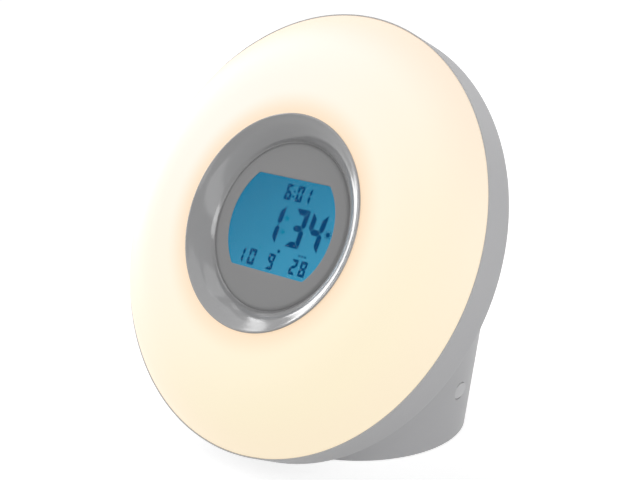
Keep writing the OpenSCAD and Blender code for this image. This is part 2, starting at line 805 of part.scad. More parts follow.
module tact_switch() {
    translate([-3, -3, -switch_h]) cube([6, 6, switch_h]);
    translate([0, 0, -switch_h - plunger_h]) cylinder(h = plunger_h, r = 1.7, $fn = fine);
}

module key_switches() {
    color(chip_black) in_face() for (i = [0 : key_count - 1]) at_key(i)
        translate([0, 0, key_board_z - board_t]) tact_switch();
}

// ---------- keys ----------

module rear_key(i) {
    color(housing_grey) in_face() {
        intersection() {
            at_key(i) translate([0, 0, -bowl_depth])
                cylinder(h = bowl_depth + flange_z + key_rim / 2, r = key_r);
            translate([0, 0, bowl_c]) sphere(r = bowl_q + key_proud);
        }
        at_key(i) translate([0, 0, flange_z]) cylinder(h = key_rim, r = key_r + key_rim);
        at_key(i) translate([0, 0, flange_z]) cylinder(h = key_stem_z - flange_z, r = 2);
    }
}

module alarm_key() { rear_key(4); }
module mode_key() { rear_key(3); }
module light_key() { rear_key(2); }
module down_key() { rear_key(1); }
module up_key() { rear_key(0); }

module side_key() {
    color([0.82, 0.82, 0.83]) {
        in_side(side_flange) cylinder(h = side_flange + side_proud, r = side_key_r);
        in_side(side_flange) cylinder(h = 1, r = side_key_r + 0.9);
        in_side(side_stem) cylinder(h = side_stem - side_flange + 0.5, r = 1.6);
    }
}

module side_board() {
    color(board_green) in_side(side_board_depth + 1.2) translate([-5, -9, 0]) cube([10, 18, 1.1]);
}

module side_switch() {
    color(chip_black) in_side(side_board_depth) {
        translate([-3, -3, 0]) cube([6, 6, 1.6]);
        translate([0, 0, 1.6]) cylinder(h = 0.9, r = 1.5, $fn = fine);
    }
}

// ---------- screws ----------

module screw(head_r, head_h, shank_r, shank_l) {
    difference() {
        cylinder(h = head_h, r = head_r, $fn = 48);
        for (a = [0, 90]) rotate([0, 0, a]) translate([-head_r * 0.6, -0.25, head_h * 0.45])
            cube([head_r * 1.2, 0.5, head_h]);
    }
    translate([0, 0, -shank_l]) cylinder(h = shank_l, r = shank_r, $fn = fine);
}

module small_screw(shank_l) {
    screw(1.9, 1.2, 0.9, shank_l);
}

module tray_screws() {
    color(steel_grey) in_face() for (a = [45 : 90 : 315]) rotate([0, 0, a])
        translate([tray_post_r, 0, tray_z + tray_t + board_t]) screw(2.6, 1.4, 1.1, 8);
}

module base_screws() {
    color(steel_grey) in_foot() for (a = [45 : 90 : 315]) rotate([0, 0, a])
        translate([base_screw_ring, 0, pad_proud + sink]) rotate([180, 0, 0]) screw(2.5, 1.2, 1.1, 6.5);
}

module bezel_screws() {
    color(steel_grey) in_face() for (a = [30 : 120 : 270]) rotate([0, 0, a])
        translate([boss_ring, 0, tray_z]) rotate([180, 0, 0]) small_screw(5.5);
}

module board_screws() {
    color(steel_grey) in_face() {
        for (p = main_post) translate([p.x, p.y, main_z - board_t]) rotate([180, 0, 0]) small_screw(5);
        for (a = [0 : 90 : 270]) rotate([0, 0, a]) translate([lcd_screw_ring, 0, frame_low - board_t])
            rotate([180, 0, 0]) small_screw(4);
        for (a = [90 : 120 : 330]) rotate([0, 0, a]) translate([frame_post, 0, frame_low])
            rotate([180, 0, 0]) screw(1.6, 1.1, 0.75, 4.6);
    }
}

module key_board_screws() {
    color(steel_grey) in_face() for (a = key_post_ang) rotate([0, 0, a])
        translate([key_ring, 0, key_board_z]) small_screw(6);
}

module speaker_screws() {
    color(steel_grey) in_speaker(speaker_y) for (a = [45 : 90 : 315]) rotate([0, 0, a])
        translate([speaker_screw_ring, 0, clamp_z]) rotate([180, 0, 0]) small_screw(6);
}

// ---------- leads ----------

module stretch(a, b, r) {
    d = b - a;
    translate(a) rotate([0, acos(d.z / norm(d)), atan2(d.y, d.x)]) cylinder(h = norm(d), r = r, $fn = 24);
}

module lead(points, r) {
    for (i = [0 : len(points) - 2]) stretch(points[i], points[i + 1], r);
    for (i = [1 : len(points) - 2]) translate(points[i]) sphere(r = r * 1.06, $fn = 24);
}

module lead_pair(points) {
    for (s = [-1, 1]) translate([s * (lead_r + 0.3), 0, 0]) lead(points, lead_r);
}

// Start of a lead at header i of the main board
function lead_start(i) = [for (d = [0, straight])
    from_face([header_at[i].x, header_at[i].y, header_back - d])];

module display_ribbon() {
    reach = frame_low - board_t - 2.4 - 2 * play - main_z;
    color([0.85, 0.85, 0.82]) in_face() difference() {
        translate([-7, -21, main_z + play]) cube([14, 3, reach]);
        translate([-8, -20.4, main_z + 0.9]) cube([16, 3.4, reach - 1.6]);
    }
}

module speaker_leads() {
    color(lead_red) lead_pair(concat(lead_start(0), [[-24, speaker_y - 20, speaker_z - 22],
        [-16.4, speaker_y - 10, speaker_z - 4], [-16.4, speaker_y - 7.5, speaker_z - 4]]));
}

module led_leads() {
    color(lead_red) lead_pair(concat(lead_start(1), [from_face([0, -lamp_way, -18]),
        from_face([0, -lamp_way, tray_z + tray_t - play])]));
}

module battery_leads() {
    color(lead_red) lead_pair(concat(lead_start(2), [[20, foot_y + 4, 30],
        [20, foot_y + 4, bay_top + bay_wall + play]]));
}

module key_leads() {
    tab = key_ring - 6.6;
    color(lead_red) lead_pair(concat(lead_start(3), [from_face([0, 44, -25]), from_face([0, tab, -23]),
        from_face([0, tab, key_board_z - board_t - play])]));
}

module side_key_leads() {
    color(lead_red) lead(concat(lead_start(4), [side_point(side_board_depth + 9) + [0, -3, 7],
        side_point(side_board_depth + 6), side_point(side_board_depth + 1.2 + play)]), 0.8);
}

module power_leads() {
    end = jack_back - jack_body_l - play;
    color(lead_red) lead_pair(concat(lead_start(5), [[-8, foot_y + 20, 22], [0, end - 5, jack_z],
        [0, end, jack_z]]));
}

rear_housing();
base_plate();
battery_door();
battery_cells();
battery_contacts();
dc_jack();
speaker_frame();
speaker_cone();
speaker_magnet();
speaker_clamp();
diffuser();
reflector_tray();
led_board();
led_chips();
bezel_ring();
display_panel();
display_lens();
lcd_glass();
backlight_plate();
lcd_frame();
contact_strips();
display_board();
display_chips();
main_board();
board_chips();
board_capacitors();
wire_headers();
key_board();
key_switches();
alarm_key();
mode_key();
light_key();
down_key();
up_key();
side_key();
side_board();
side_switch();
rubber_feet();
tray_screws();
base_screws();
bezel_screws();
board_screws();
key_board_screws();
speaker_screws();
display_ribbon();
led_leads();
key_leads();
speaker_leads();
battery_leads();
power_leads();
side_key_leads();
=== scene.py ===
import logging
import math
from dataclasses import dataclass
from enum import Enum
from typing import Any, ClassVar, Iterable, Sequence

import bmesh
import bpy
import numpy as np
from mathutils import Matrix, Vector


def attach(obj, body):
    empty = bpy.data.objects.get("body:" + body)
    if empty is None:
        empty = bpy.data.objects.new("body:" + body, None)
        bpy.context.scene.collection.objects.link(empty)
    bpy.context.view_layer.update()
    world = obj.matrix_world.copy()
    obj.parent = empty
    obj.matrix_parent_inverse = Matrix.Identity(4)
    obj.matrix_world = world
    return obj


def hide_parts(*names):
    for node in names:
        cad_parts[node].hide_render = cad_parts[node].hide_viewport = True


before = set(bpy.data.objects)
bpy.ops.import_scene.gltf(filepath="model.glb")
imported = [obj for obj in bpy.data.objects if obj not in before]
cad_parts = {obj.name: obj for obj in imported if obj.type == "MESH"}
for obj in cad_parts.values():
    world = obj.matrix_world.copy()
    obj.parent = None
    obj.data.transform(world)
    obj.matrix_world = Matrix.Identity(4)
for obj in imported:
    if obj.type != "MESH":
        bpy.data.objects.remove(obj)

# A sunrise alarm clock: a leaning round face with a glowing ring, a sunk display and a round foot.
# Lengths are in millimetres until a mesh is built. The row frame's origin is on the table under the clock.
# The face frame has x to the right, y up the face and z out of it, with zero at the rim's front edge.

log = logging.getLogger("clock")

MM = 0.001
TILT = math.radians(25.4)
FACE_Y, FACE_Z = -25.6, 87.7
FACE_R = 85.6
FOOT_Y, FOOT_R = 12.8, 44.7
DRAFT = math.radians(7.5)
SPEAKER_Y, SPEAKER_Z = 48.8, 70.0
INLET_Z = 14.0
WELD = 1e-4
Colour = tuple[float, float, float]
Point2 = tuple[float, float]


class Body(Enum):
    """The bodies of the clock that its pieces ride on."""

    HOUSING = "housing"
    ALARM_KEY = "alarm_key"
    MODE_KEY = "mode_key"
    LIGHT_KEY = "light_key"
    DOWN_KEY = "down_key"
    UP_KEY = "up_key"
    SIDE_KEY = "side_key"
    BATTERY_DOOR = "battery_door"


def shift(x: float, y: float, z: float) -> Matrix:
    """Returns a translation given in millimetres."""
    return Matrix.Translation(Vector((x, y, z)) * MM)


def turn(degrees: float, axis: str) -> Matrix:
    """Returns a rotation about a named axis."""
    return Matrix.Rotation(math.radians(degrees), 4, axis)


FACE = shift(0, FACE_Y, FACE_Z) @ Matrix.Rotation(math.pi / 2 - TILT, 4, "X")
ROW = Matrix.Identity(4)


# ---------- shaders ----------


class Link:
    """A shader socket with arithmetic: each expression adds its Math nodes."""

    def __init__(self, tree: "Tree", socket: Any) -> None:
        """Wraps a node's output socket."""
        self.tree = tree
        self.socket = socket

    def _math(self, operation: str, *values: Any) -> "Link":
        """Adds a Math node.

        Args:
            operation: The Math node's operation.
            values: Its inputs, numbers or links.

        Returns:
            The node's result.
        """
        return self.tree.out("ShaderNodeMath", {"operation": operation}, dict(enumerate(values)))

    def __add__(self, other: Any) -> "Link":
        """self + other."""
        return self._math("ADD", self, other)

    __radd__ = __add__

    def __sub__(self, other: Any) -> "Link":
        """self - other."""
        return self._math("SUBTRACT", self, other)

    def __rsub__(self, other: Any) -> "Link":
        """other - self."""
        return self._math("SUBTRACT", other, self)

    def __mul__(self, other: Any) -> "Link":
        """self * other."""
        return self._math("MULTIPLY", self, other)

    __rmul__ = __mul__

    def __truediv__(self, other: Any) -> "Link":
        """self / other."""
        return self._math("DIVIDE", self, other)

    def __pow__(self, other: Any) -> "Link":
        """self ** other."""
        return self._math("POWER", self, other)

    def __abs__(self) -> "Link":
        """|self|."""
        return self._math("ABSOLUTE", self)

    def ramp(self, low: float, high: float) -> "Link":
        """Rises smoothly from 0 at low to 1 at high.

        Args:
            low: The value that gives 0.
            high: The value that gives 1.

        Returns:
            The clamped, smoothed value.
        """
        return self.tree.out(
            "ShaderNodeMapRange",
            {"interpolation_type": "SMOOTHSTEP"},
            {0: self, 1: low, 2: high, 3: 0.0, 4: 1.0},
        )


class Tree:
    """The node tree of one material, or of the world."""

    def __init__(self, owner: Any) -> None:
        """Empties the owner's tree and takes it over.

        Args:
            owner: The material or the world.
        """
        owner.use_nodes = True
        self.nodes = owner.node_tree.nodes
        self.links = owner.node_tree.links
        self.nodes.clear()

    def node(self, kind: str, settings: dict[str, Any] | None = None,
             inputs: dict[Any, Any] | None = None) -> Any:
        """Makes any node.

        Args:
            kind: The node's type.
            settings: Its properties, which are set first.
            inputs: Its sockets by name or number, each a value or a link.

        Returns:
            The node.
        """
        made = self.nodes.new(kind)
        for key, value in (settings or {}).items():
            setattr(made, key, value)
        for key, value in (inputs or {}).items():
            if isinstance(value, Link):
                self.links.new(value.socket, made.inputs[key])
            else:
                made.inputs[key].default_value = value
        return made

    def out(self, kind: str, settings: dict[str, Any] | None = None,
            inputs: dict[Any, Any] | None = None, output: Any = 0) -> Link:
        """Makes a node as node() does.

        Args:
            kind: The node's type.
            settings: Its properties, which are set first.
            inputs: Its sockets by name or number, each a value or a link.
            output: The output that is wanted, by name or number.

        Returns:
            That output.
        """
        return Link(self, self.node(kind, settings, inputs).outputs[output])

    def mix(self, factor: Any, a: Any, b: Any) -> Link:
        """Mixes two colours.

        Args:
            factor: A number or link, 0 for a and 1 for b.
            a: A colour or link.
            b: A colour or link.

        Returns:
            The mixed colour.
        """
        a, b = (x if isinstance(x, Link) else (*x, 1.0) for x in (a, b))
        return self.out("ShaderNodeMix", {"data_type": "RGBA"}, {0: factor, 6: a, 7: b}, 2)

    def place(self) -> Link:
        """Returns the piece's own coordinates, in metres."""
        return self.out("ShaderNodeTexCoord", output="Object")

    def noise(self, scale: float, detail: float = 2.0, seed: float = 0.0) -> Link:
        """Adds noise from 0 to 1.

        Args:
            scale: Cells in a metre.
            detail: Octaves of finer noise.
            seed: The fourth coordinate, so that two noises differ.

        Returns:
            The noise.
        """
        return self.out("ShaderNodeTexNoise", {"noise_dimensions": "4D"},
                        {"Vector": self.place(), "W": seed, "Scale": scale, "Detail": detail}, "Fac")

    def face_axes(self) -> tuple[Link, Link]:
        """Measures where a point lies on the face.

        Returns:
            How far it is to the right of the face's middle and up from it, in millimetres.
        """
        made = self.node("ShaderNodeSeparateXYZ", {}, {0: self.place()})
        x, y, z = (Link(self, made.outputs[i]) / MM for i in range(3))
        return x, (y - FACE_Y) * math.sin(TILT) + (z - FACE_Z) * math.cos(TILT)

    def bump(self, height: Link, depth: float) -> Link:
        """Turns a height from 0 to 1 into a normal.

        Args:
            height: The height.
            depth: What 1 stands for, in millimetres.

        Returns:
            The normal.
        """
        return self.out("ShaderNodeBump", {}, {"Strength": 1.0, "Distance": depth * MM, "Height": height})

    def surface(self, shader: Link) -> None:
        """Links a shader to the output."""
        self.node("ShaderNodeOutputMaterial", {}, {0: shader})


@dataclass(frozen=True)
class Finish:
    """What every finish has."""

    name: str
    colour: Colour
    rough: float = 0.45

    def fill(self, tree: Tree, shader: Any) -> None:
        """Adds the finish's own pattern to the shader.

        Args:
            tree: The material's tree.
            shader: The shader that is fed.
        """

    def constants(self) -> dict[str, Any]:
        """Returns the shader's constant sockets."""
        return {}

    def shader(self, tree: Tree) -> Link:
        """Adds the finish's shader with its pattern.

        Args:
            tree: The material's tree.

        Returns:
            The shader's output.
        """
        made = tree.node("ShaderNodeBsdfPrincipled", {}, {
            "Base Color": (*self.colour, 1.0), "Roughness": self.rough, **self.constants()})
        self.fill(tree, made)
        return Link(tree, made.outputs[0])

    def make(self) -> bpy.types.Material:
        """Makes the material, unless it is there already.

        Returns:
            The material.
        """
        made = bpy.data.materials.get(self.name)
        if made is None:
            made = bpy.data.materials.new(self.name)
            tree = Tree(made)
            tree.surface(self.shader(tree))
        return made


def feed(tree: Tree, shader: Any, **values: Link) -> None:
    """Links values to a shader.

    Args:
        tree: The material's tree.
        shader: The shader.
        values: Links by the names of its sockets, with underscores for spaces.
    """
    for key, value in values.items():
        tree.links.new(value.socket, shader.inputs[key.replace("_", " ")])


@dataclass(frozen=True)
class Moulded(Finish):
    """Injection-moulded plastic with a spark-eroded grain."""

    grain: float = 0.35
    depth: float = 0.012
    drift: float = 0.03
    coat: float = 0.0

    def constants(self) -> dict[str, Any]:
        """Returns the shader's constant sockets."""
        return {"Coat Weight": self.coat, "Coat Roughness": 0.12, "IOR": 1.48}

    def fill(self, tree: Tree, shader: Any) -> None:
        """Adds the grain, and the slow drift of tone that a moulding has.

        Args:
            tree: The material's tree.
            shader: The shader that is fed.
        """
        slow = tree.noise(28.0, 3.0)
        fine = tree.noise(1000.0 / self.grain, 2.0, 3.0)
        low = tuple(c * (1 - self.drift) for c in self.colour)
        high = tuple(min(c * (1 + self.drift), 1.0) for c in self.colour)
        feed(tree, shader,
             Base_Color=tree.mix(slow * 0.7 + fine * 0.3, low, high),
             Roughness=self.rough + (slow - 0.5) * 0.12 + (fine - 0.5) * 0.08,
             Normal=tree.bump(fine, self.depth))


@dataclass(frozen=True)
class Opal(Finish):
    """Opal plastic that is lit from behind: warm by the edge, cream towards one side, and a painted shade by
    the bezel.
    """

    white: Colour = (0.76, 0.73, 0.68)
    cream: Colour = (0.76, 0.66, 0.45)
    # A darker warm tint: painted shade in the hollow by the bezel.
    bezel_shade: Colour = (0.76, 0.55, 0.36)
    edge: Colour = (0.75, 0.60, 0.46)
    glow: float = 1.05

    def constants(self) -> dict[str, Any]:
        """Returns the shader's constant sockets."""
        return {"Emission Strength": self.glow, "IOR": 1.45}

    def fill(self, tree: Tree, shader: Any) -> None:
        """Adds the glow's colours: white to cream across the face, warm by the edge, and a darker warm tint
        by the bezel as painted shade.

        Args:
            tree: The material's tree.
            shader: The shader that is fed.
        """
        x, y = tree.face_axes()
        across = (x * 0.64 - y * 0.77) / FACE_R
        rho = (x * x + y * y) ** 0.5
        patch = (tree.noise(14.0, 2.0) - 0.5) * 0.12
        base = tree.mix((across + patch).ramp(-1.3, 1.1), self.white, self.cream)
        rimmed = tree.mix(rho.ramp(68.0, 87.0) * (0.75 - across * 0.45), base, self.edge)
        # Towards the bezel the glow turns darker and warmer: painted shade where the ring meets the bezel.
        glow = tree.mix((1 - rho.ramp(41.0, 52.0)) * 0.9, rimmed, self.bezel_shade)
        fine = tree.noise(2200.0, 2.0, 5.0)
        feed(tree, shader,
             Base_Color=tree.mix(fine, tuple(c * 0.95 for c in self.colour), self.colour),
             Roughness=self.rough + (fine - 0.5) * 0.1,
             Emission_Color=glow,
             Normal=tree.bump(fine, 0.004))


@dataclass(frozen=True)
class Backlit(Finish):
    """A liquid-crystal glass over its backlight: deeper at one side, brighter at the lower edge."""

    deep: Colour = (0.014, 0.170, 0.300)
    pale: Colour = (0.040, 0.280, 0.445)
    glow: float = 1.0

    def constants(self) -> dict[str, Any]:
        """Returns the shader's constant sockets."""
        return {"Emission Strength": self.glow, "Specular IOR Level": 0.02}

    def fill(self, tree: Tree, shader: Any) -> None:
        """Adds the backlight's unevenness and the film's fine weave.

        Args:
            tree: The material's tree.
            shader: The shader that is fed.
        """
        x, y = tree.face_axes()
        fall = (x * 0.55 - y * 0.83) / 25
        cloud = (tree.noise(60.0, 2.0, 2.0) - 0.5) * 0.6
        film = tree.noise(5200.0, 1.0, 7.0)
        feed(tree, shader,
             Emission_Color=tree.mix((fall + cloud).ramp(-1.2, 1.3), self.deep, self.pale),
             Roughness=self.rough + (film - 0.5) * 0.1,
             Normal=tree.bump(film, 0.001))


@dataclass(frozen=True)
class Crystal(Finish):
    """Switched crystal in front of the backlight."""

    glow: float = 1.0

    def constants(self) -> dict[str, Any]:
        """Returns the shader's constant sockets."""
        return {"Emission Strength": self.glow, "Specular IOR Level": 0.02}

    def fill(self, tree: Tree, shader: Any) -> None:
        """Lets a little of the backlight through unevenly.

        Args:
            tree: The material's tree.
            shader: The shader that is fed.
        """
        cloud = tree.noise(420.0, 2.0, 4.0)
        low = tuple(c * 0.75 for c in self.colour)
        high = tuple(c * 1.25 for c in self.colour)
        feed(tree, shader, Emission_Color=tree.mix(cloud, low, high),
             Roughness=self.rough + (cloud - 0.5) * 0.1)


@dataclass(frozen=True)
class Clear(Finish):
    """A clear cover that shows what is behind it and mirrors a little."""

    mirror: Colour = (0.9, 0.93, 0.95)

    def shader(self, tree: Tree) -> Link:
        """Mixes what is behind the cover with a faint mirror, stronger at a slant.

        Args:
            tree: The material's tree.

        Returns:
            The mixed shader's output.
        """
        haze = tree.noise(90.0, 3.0, 6.0)
        through = tree.out("ShaderNodeBsdfTransparent", {}, {0: (*self.colour, 1.0)})
        mirror = tree.node("ShaderNodeBsdfPrincipled", {}, {
            "Base Color": (*self.mirror, 1.0), "Roughness": self.rough, "Metallic": 1.0})
        feed(tree, mirror, Roughness=self.rough + haze * 0.03)
        slant = tree.out("ShaderNodeLayerWeight", {}, {0: 0.5}, "Facing")
        share = slant ** 5 * 0.6 + haze * 0.001 + 0.0005
        return tree.out("ShaderNodeMixShader", {}, {0: share, 1: through, 2: Link(tree, mirror.outputs[0])})


@dataclass(frozen=True)
class Metal(Finish):
    """Plated or rolled metal with fine lines along one axis."""

    axis: int = 0
    lines: float = 3000.0

    def constants(self) -> dict[str, Any]:
        """Returns the shader's constant sockets."""
        return {"Metallic": 1.0}

    def fill(self, tree: Tree, shader: Any) -> None:
        """Adds rolling lines and a slow tarnish.

        Args:
            tree: The material's tree.
            shader: The shader that is fed.
        """
        stretch = [self.lines] * 3
        stretch[self.axis] = self.lines / 40
        where = tree.out("ShaderNodeVectorMath", {"operation": "MULTIPLY"},
                         {0: tree.place(), 1: tuple(stretch)})
        line = tree.out("ShaderNodeTexNoise", {}, {"Vector": where, "Scale": 1.0, "Detail": 2.0}, "Fac")
        tarnish = tree.noise(160.0, 3.0, 9.0)
        low = tuple(c * 0.82 for c in self.colour)
        feed(tree, shader, Base_Color=tree.mix(tarnish * 0.6 + line * 0.4, low, self.colour),
             Roughness=self.rough + (line - 0.5) * 0.2, Normal=tree.bump(line, 0.003))


@dataclass(frozen=True)
class Laminate(Finish):
    """A circuit board's lacquer over copper tracks."""

    copper: Colour = (0.05, 0.20, 0.07)
    pitch: float = 2.2

    def fill(self, tree: Tree, shader: Any) -> None:
        """Adds tracks, vias and the weave of the glass cloth.

        Args:
            tree: The material's tree.
            shader: The shader that is fed.
        """
        where = tree.place()
        cells = tree.out("ShaderNodeTexVoronoi", {"distance": "CHEBYCHEV", "feature": "F1"},
                         {"Vector": where, "Scale": 1000.0 / (self.pitch * 2)}, "Distance")
        track = abs(cells - 0.32).ramp(0.05, 0.08)
        dots = tree.out("ShaderNodeTexVoronoi", {"feature": "F1"},
                        {"Vector": where, "Scale": 1000.0 / (self.pitch * 3)}, "Distance")
        via = 1 - dots.ramp(0.09, 0.12)
        weave = tree.noise(2600.0, 1.0, 8.0)
        green = tree.mix(track, self.copper, self.colour)
        feed(tree, shader, Base_Color=tree.mix(via, green, (0.55, 0.42, 0.18)),
             Metallic=via * 0.8, Roughness=self.rough + (weave - 0.5) * 0.15,
             Normal=tree.bump(1 - track * 0.7 + weave * 0.2, 0.03))


@dataclass(frozen=True)
class Fibre(Finish):
    """Pressed paper or felt: short fibres in every direction."""

    def fill(self, tree: Tree, shader: Any) -> None:
        """Adds the fibres.

        Args:
            tree: The material's tree.
            shader: The shader that is fed.
        """
        fibre = tree.noise(2400.0, 6.0, 1.0)
        clump = tree.noise(350.0, 3.0, 2.0)
        low = tuple(c * 0.7 for c in self.colour)
        high = tuple(min(c * 1.35, 1.0) for c in self.colour)
        feed(tree, shader, Base_Color=tree.mix(fibre * 0.6 + clump * 0.4, low, high),
             Roughness=self.rough + (fibre - 0.5) * 0.2, Normal=tree.bump(fibre, 0.05))


@dataclass(frozen=True)
class Sleeved(Finish):
    """Extruded insulation or a shrunk sleeve: smooth, with drawing lines and dust."""

    coat: float = 0.2

    def constants(self) -> dict[str, Any]:
        """Returns the shader's constant sockets."""
        return {"Coat Weight": self.coat, "Coat Roughness": 0.2}

    def fill(self, tree: Tree, shader: Any) -> None:
        """Adds slow shade changes and a fine orange peel.

        Args:
            tree: The material's tree.
            shader: The shader that is fed.
        """
        peel = tree.noise(1400.0, 2.0, 11.0)
        shade = tree.noise(120.0, 2.0, 12.0)
        low = tuple(c * 0.85 for c in self.colour)
        feed(tree, shader, Base_Color=tree.mix(shade, low, self.colour),
             Roughness=self.rough + (peel - 0.5) * 0.15, Normal=tree.bump(peel, 0.01))


@dataclass(frozen=True)
class Phosphor(Finish):
    """The yellow gel of a white light-emitting chip, in its pale cup."""

    glow: float = 1.2

    def constants(self) -> dict[str, Any]:
        """Returns the shader's constant sockets."""
        return {"Emission Strength": self.glow}

    def fill(self, tree: Tree, shader: Any) -> None:
        """Adds the gel's grain and its glow.

        Args:
            tree: The material's tree.
            shader: The shader that is fed.
        """
        grain = tree.noise(3000.0, 2.0, 13.0)
        low = tuple(c * 0.85 for c in self.colour)
        feed(tree, shader, Base_Color=tree.mix(grain, low, self.colour),
             Emission_Color=tree.mix(grain, (0.9, 0.7, 0.35), (1.0, 0.85, 0.55)),
             Roughness=self.rough + (grain - 0.5) * 0.1)


HOUSING = Moulded("housing_satin", (0.455, 0.455, 0.465), 0.42, depth=0.010)
BASE = Moulded("base_matt", (0.36, 0.36, 0.37), 0.6, grain=0.5, depth=0.03)
BEZEL = Moulded("bezel_gloss", (0.275, 0.275, 0.279), 0.16, grain=0.9, depth=0.002, drift=0.02, coat=0.6)
PANEL = Moulded("panel_satin", (0.222, 0.222, 0.224), 0.40, grain=0.3, depth=0.008, drift=0.02)
OPAL = Opal("opal_ring", (0.20, 0.195, 0.18), 0.55)
SCREEN = Backlit("screen_blue", (0.004, 0.012, 0.02), 0.35)
DIGIT = Crystal("screen_digit", (0.0004, 0.0290, 0.085), 0.4)
FAINT = Crystal("screen_faint", (0.001, 0.110, 0.185), 0.4)
CRYSTAL_CLEAR = Clear("window_clear", (0.97, 0.99, 1.0), 0.03)
KEYCAP = Moulded("key_satin", (0.50, 0.50, 0.51), 0.38, depth=0.008)
# The side key is paler than the housing: partly its own tone, partly a painted highlight where the flank
# catches light.
SIDE_CAP_TONE_AND_SHEEN = Moulded("side_key_tone_and_sheen", (0.54, 0.54, 0.55), 0.30, depth=0.006, coat=0.3)
MARKING = Moulded("key_marking", (0.09, 0.09, 0.10), 0.5, depth=0.004)
WHITE = Moulded("white_moulding", (0.78, 0.78, 0.76), 0.5, depth=0.01)
BLACK = Moulded("black_moulding", (0.022, 0.022, 0.024), 0.42, depth=0.015, drift=0.12)
CHIP = Moulded("chip_resin", (0.018, 0.018, 0.02), 0.5, grain=0.15, depth=0.012, drift=0.15)
BOARD = Laminate("board_lacquer", (0.012, 0.09, 0.035), 0.3)
LAMP = Phosphor("lamp_gel", (0.95, 0.78, 0.30), 0.3)
STEEL = Metal("plated_steel", (0.62, 0.62, 0.64), 0.28)
MAGNET = Metal("zinc_plate", (0.50, 0.50, 0.50), 0.38, axis=2, lines=900.0)
PAPER = Fibre("pressed_paper", (0.018, 0.018, 0.02), 0.85)
RUBBER = Fibre("foot_rubber", (0.020, 0.020, 0.021), 0.7)
ELASTOMER = Sleeved("strip_elastomer", (0.62, 0.22, 0.28), 0.6, coat=0.0)
CELL = Sleeved("cell_sleeve", (0.05, 0.20, 0.32), 0.3, coat=0.5)
CAN = Sleeved("can_sleeve", (0.012, 0.02, 0.10), 0.3, coat=0.4)
WIRE = Sleeved("lead_insulation", (0.42, 0.02, 0.015), 0.4)
RIBBON = Sleeved("ribbon_film", (0.62, 0.62, 0.56), 0.35)


# ---------- mesh building ----------


class Shape:
    """Gathers grids and prisms, in millimetres, and builds one mesh object from them."""

    def __init__(self, name: str, matrix: Matrix = ROW) -> None:
        """Starts an empty shape.

        Args:
            name: The piece's name.
            matrix: Where the piece's own frame lies in the row frame.
        """
        self.name = name
        self.matrix = matrix
        self.points: list[Sequence[float]] = []
        self.faces: list[tuple[int, ...]] = []
        self.slots: list[int] = []
        self.slot = 0

    def grid(self, rows: np.ndarray, close_rows: bool = False, inner: Matrix | None = None) -> None:
        """Adds a sheet of quads whose last column joins its first.

        Args:
            rows: Points, shaped rows by columns by 3.
            close_rows: Joins the last row to the first.
            inner: A transform within the piece's own frame.
        """
        count, width = rows.shape[:2]
        start = len(self.points)
        flat = rows.reshape(-1, 3)
        if inner is not None:
            m = np.array(inner, float)
            flat = flat @ m[:3, :3].T + m[:3, 3] / MM
        self.points.extend(flat.tolist())
        for i in range(count if close_rows else count - 1):
            a, b = start + i * width, start + (i + 1) % count * width
            for j in range(width):
                k = (j + 1) % width
                self._face((a + j, a + k, b + k, b + j))

    def _face(self, corners: tuple[int, ...]) -> None:
        """Adds one face in the current material slot."""
        self.faces.append(corners)
        self.slots.append(self.slot)

    def lathe(self, profile: Sequence[Point2], segments: int = 96, closed: bool = True,
              inner: Matrix | None = None) -> None:
        """Turns a profile about the frame's z axis.

        Args:
            profile: Points as (radius, height).
            segments: Columns round the axis.
            closed: Whether the profile is a closed ring. One that starts and ends on the axis isn't.
            inner: A transform within the piece's own frame.
        """
        angle = full_turn(segments)
        p = np.array(profile, float)
        rows = np.stack([p[:, :1] * np.cos(angle), p[:, :1] * np.sin(angle),
                         np.repeat(p[:, 1:], segments, 1)], 2)
        self.grid(rows, close_rows=closed, inner=inner)

    def prism(self, outline: Sequence[Point2], low: float, high: float, inner: Matrix | None = None,
              edge: float = 0.0) -> None:
        """Adds a closed prism with an edge that is cut back.

        Args:
            outline: Its outline, convex or nearly so, anticlockwise.
            low: Height of its underside.
            high: Height of its top.
            inner: A transform within the piece's own frame.
            edge: How far the top's edge is cut back.
        """
        p = np.array(outline, float)
        middle = p.mean(0)
        reach = np.linalg.norm(p - middle, axis=1, keepdims=True)
        drawn = middle + (p - middle) * (1 - edge / np.maximum(reach, edge + 1e-6))
        levels = [(p, low), (p, high - edge), (drawn, high)] if edge else [(p, low), (p, high)]
        start = len(self.points)
        rows = np.stack([np.column_stack([q, np.full(len(q), z)]) for q, z in levels])
        self.grid(rows, inner=inner)
        width, last = len(p), start + (len(levels) - 1) * len(p)
        self._face(tuple(range(last, last + width)))
        self._face(tuple(reversed(range(start, start + width))))

    def build(self, sharp: float = 32.0) -> bpy.types.Object:
        """Builds the object, in which points nearer than WELD become one.

        Args:
            sharp: Edges that bend by more than this many degrees stay crisp.

        Returns:
            The object, whose points are in the row frame.
        """
        mesh = bpy.data.meshes.new(self.name)
        mesh.from_pydata([self.matrix @ (Vector(p) * MM) for p in self.points], [], self.faces)
        mesh.polygons.foreach_set("material_index", self.slots)
        work = bmesh.new()
        work.from_mesh(mesh)
        bmesh.ops.remove_doubles(work, verts=work.verts, dist=WELD * MM)
        bmesh.ops.recalc_face_normals(work, faces=work.faces)
        work.to_mesh(mesh)
        work.free()
        crisp(mesh, sharp)
        made = bpy.data.objects.new(self.name, mesh)
        bpy.context.scene.collection.objects.link(made)
        return made


def crisp(mesh: bpy.types.Mesh, degrees: float) -> None:
    """Shades a mesh smoothly, apart from its sharp edges.

    Args:
        mesh: The mesh.
        degrees: Edges that bend by more than this stay crisp.
    """
    mesh.polygons.foreach_set("use_smooth", [True] * len(mesh.polygons))
    mesh.set_sharp_from_angle(angle=math.radians(degrees))
    mesh.update()


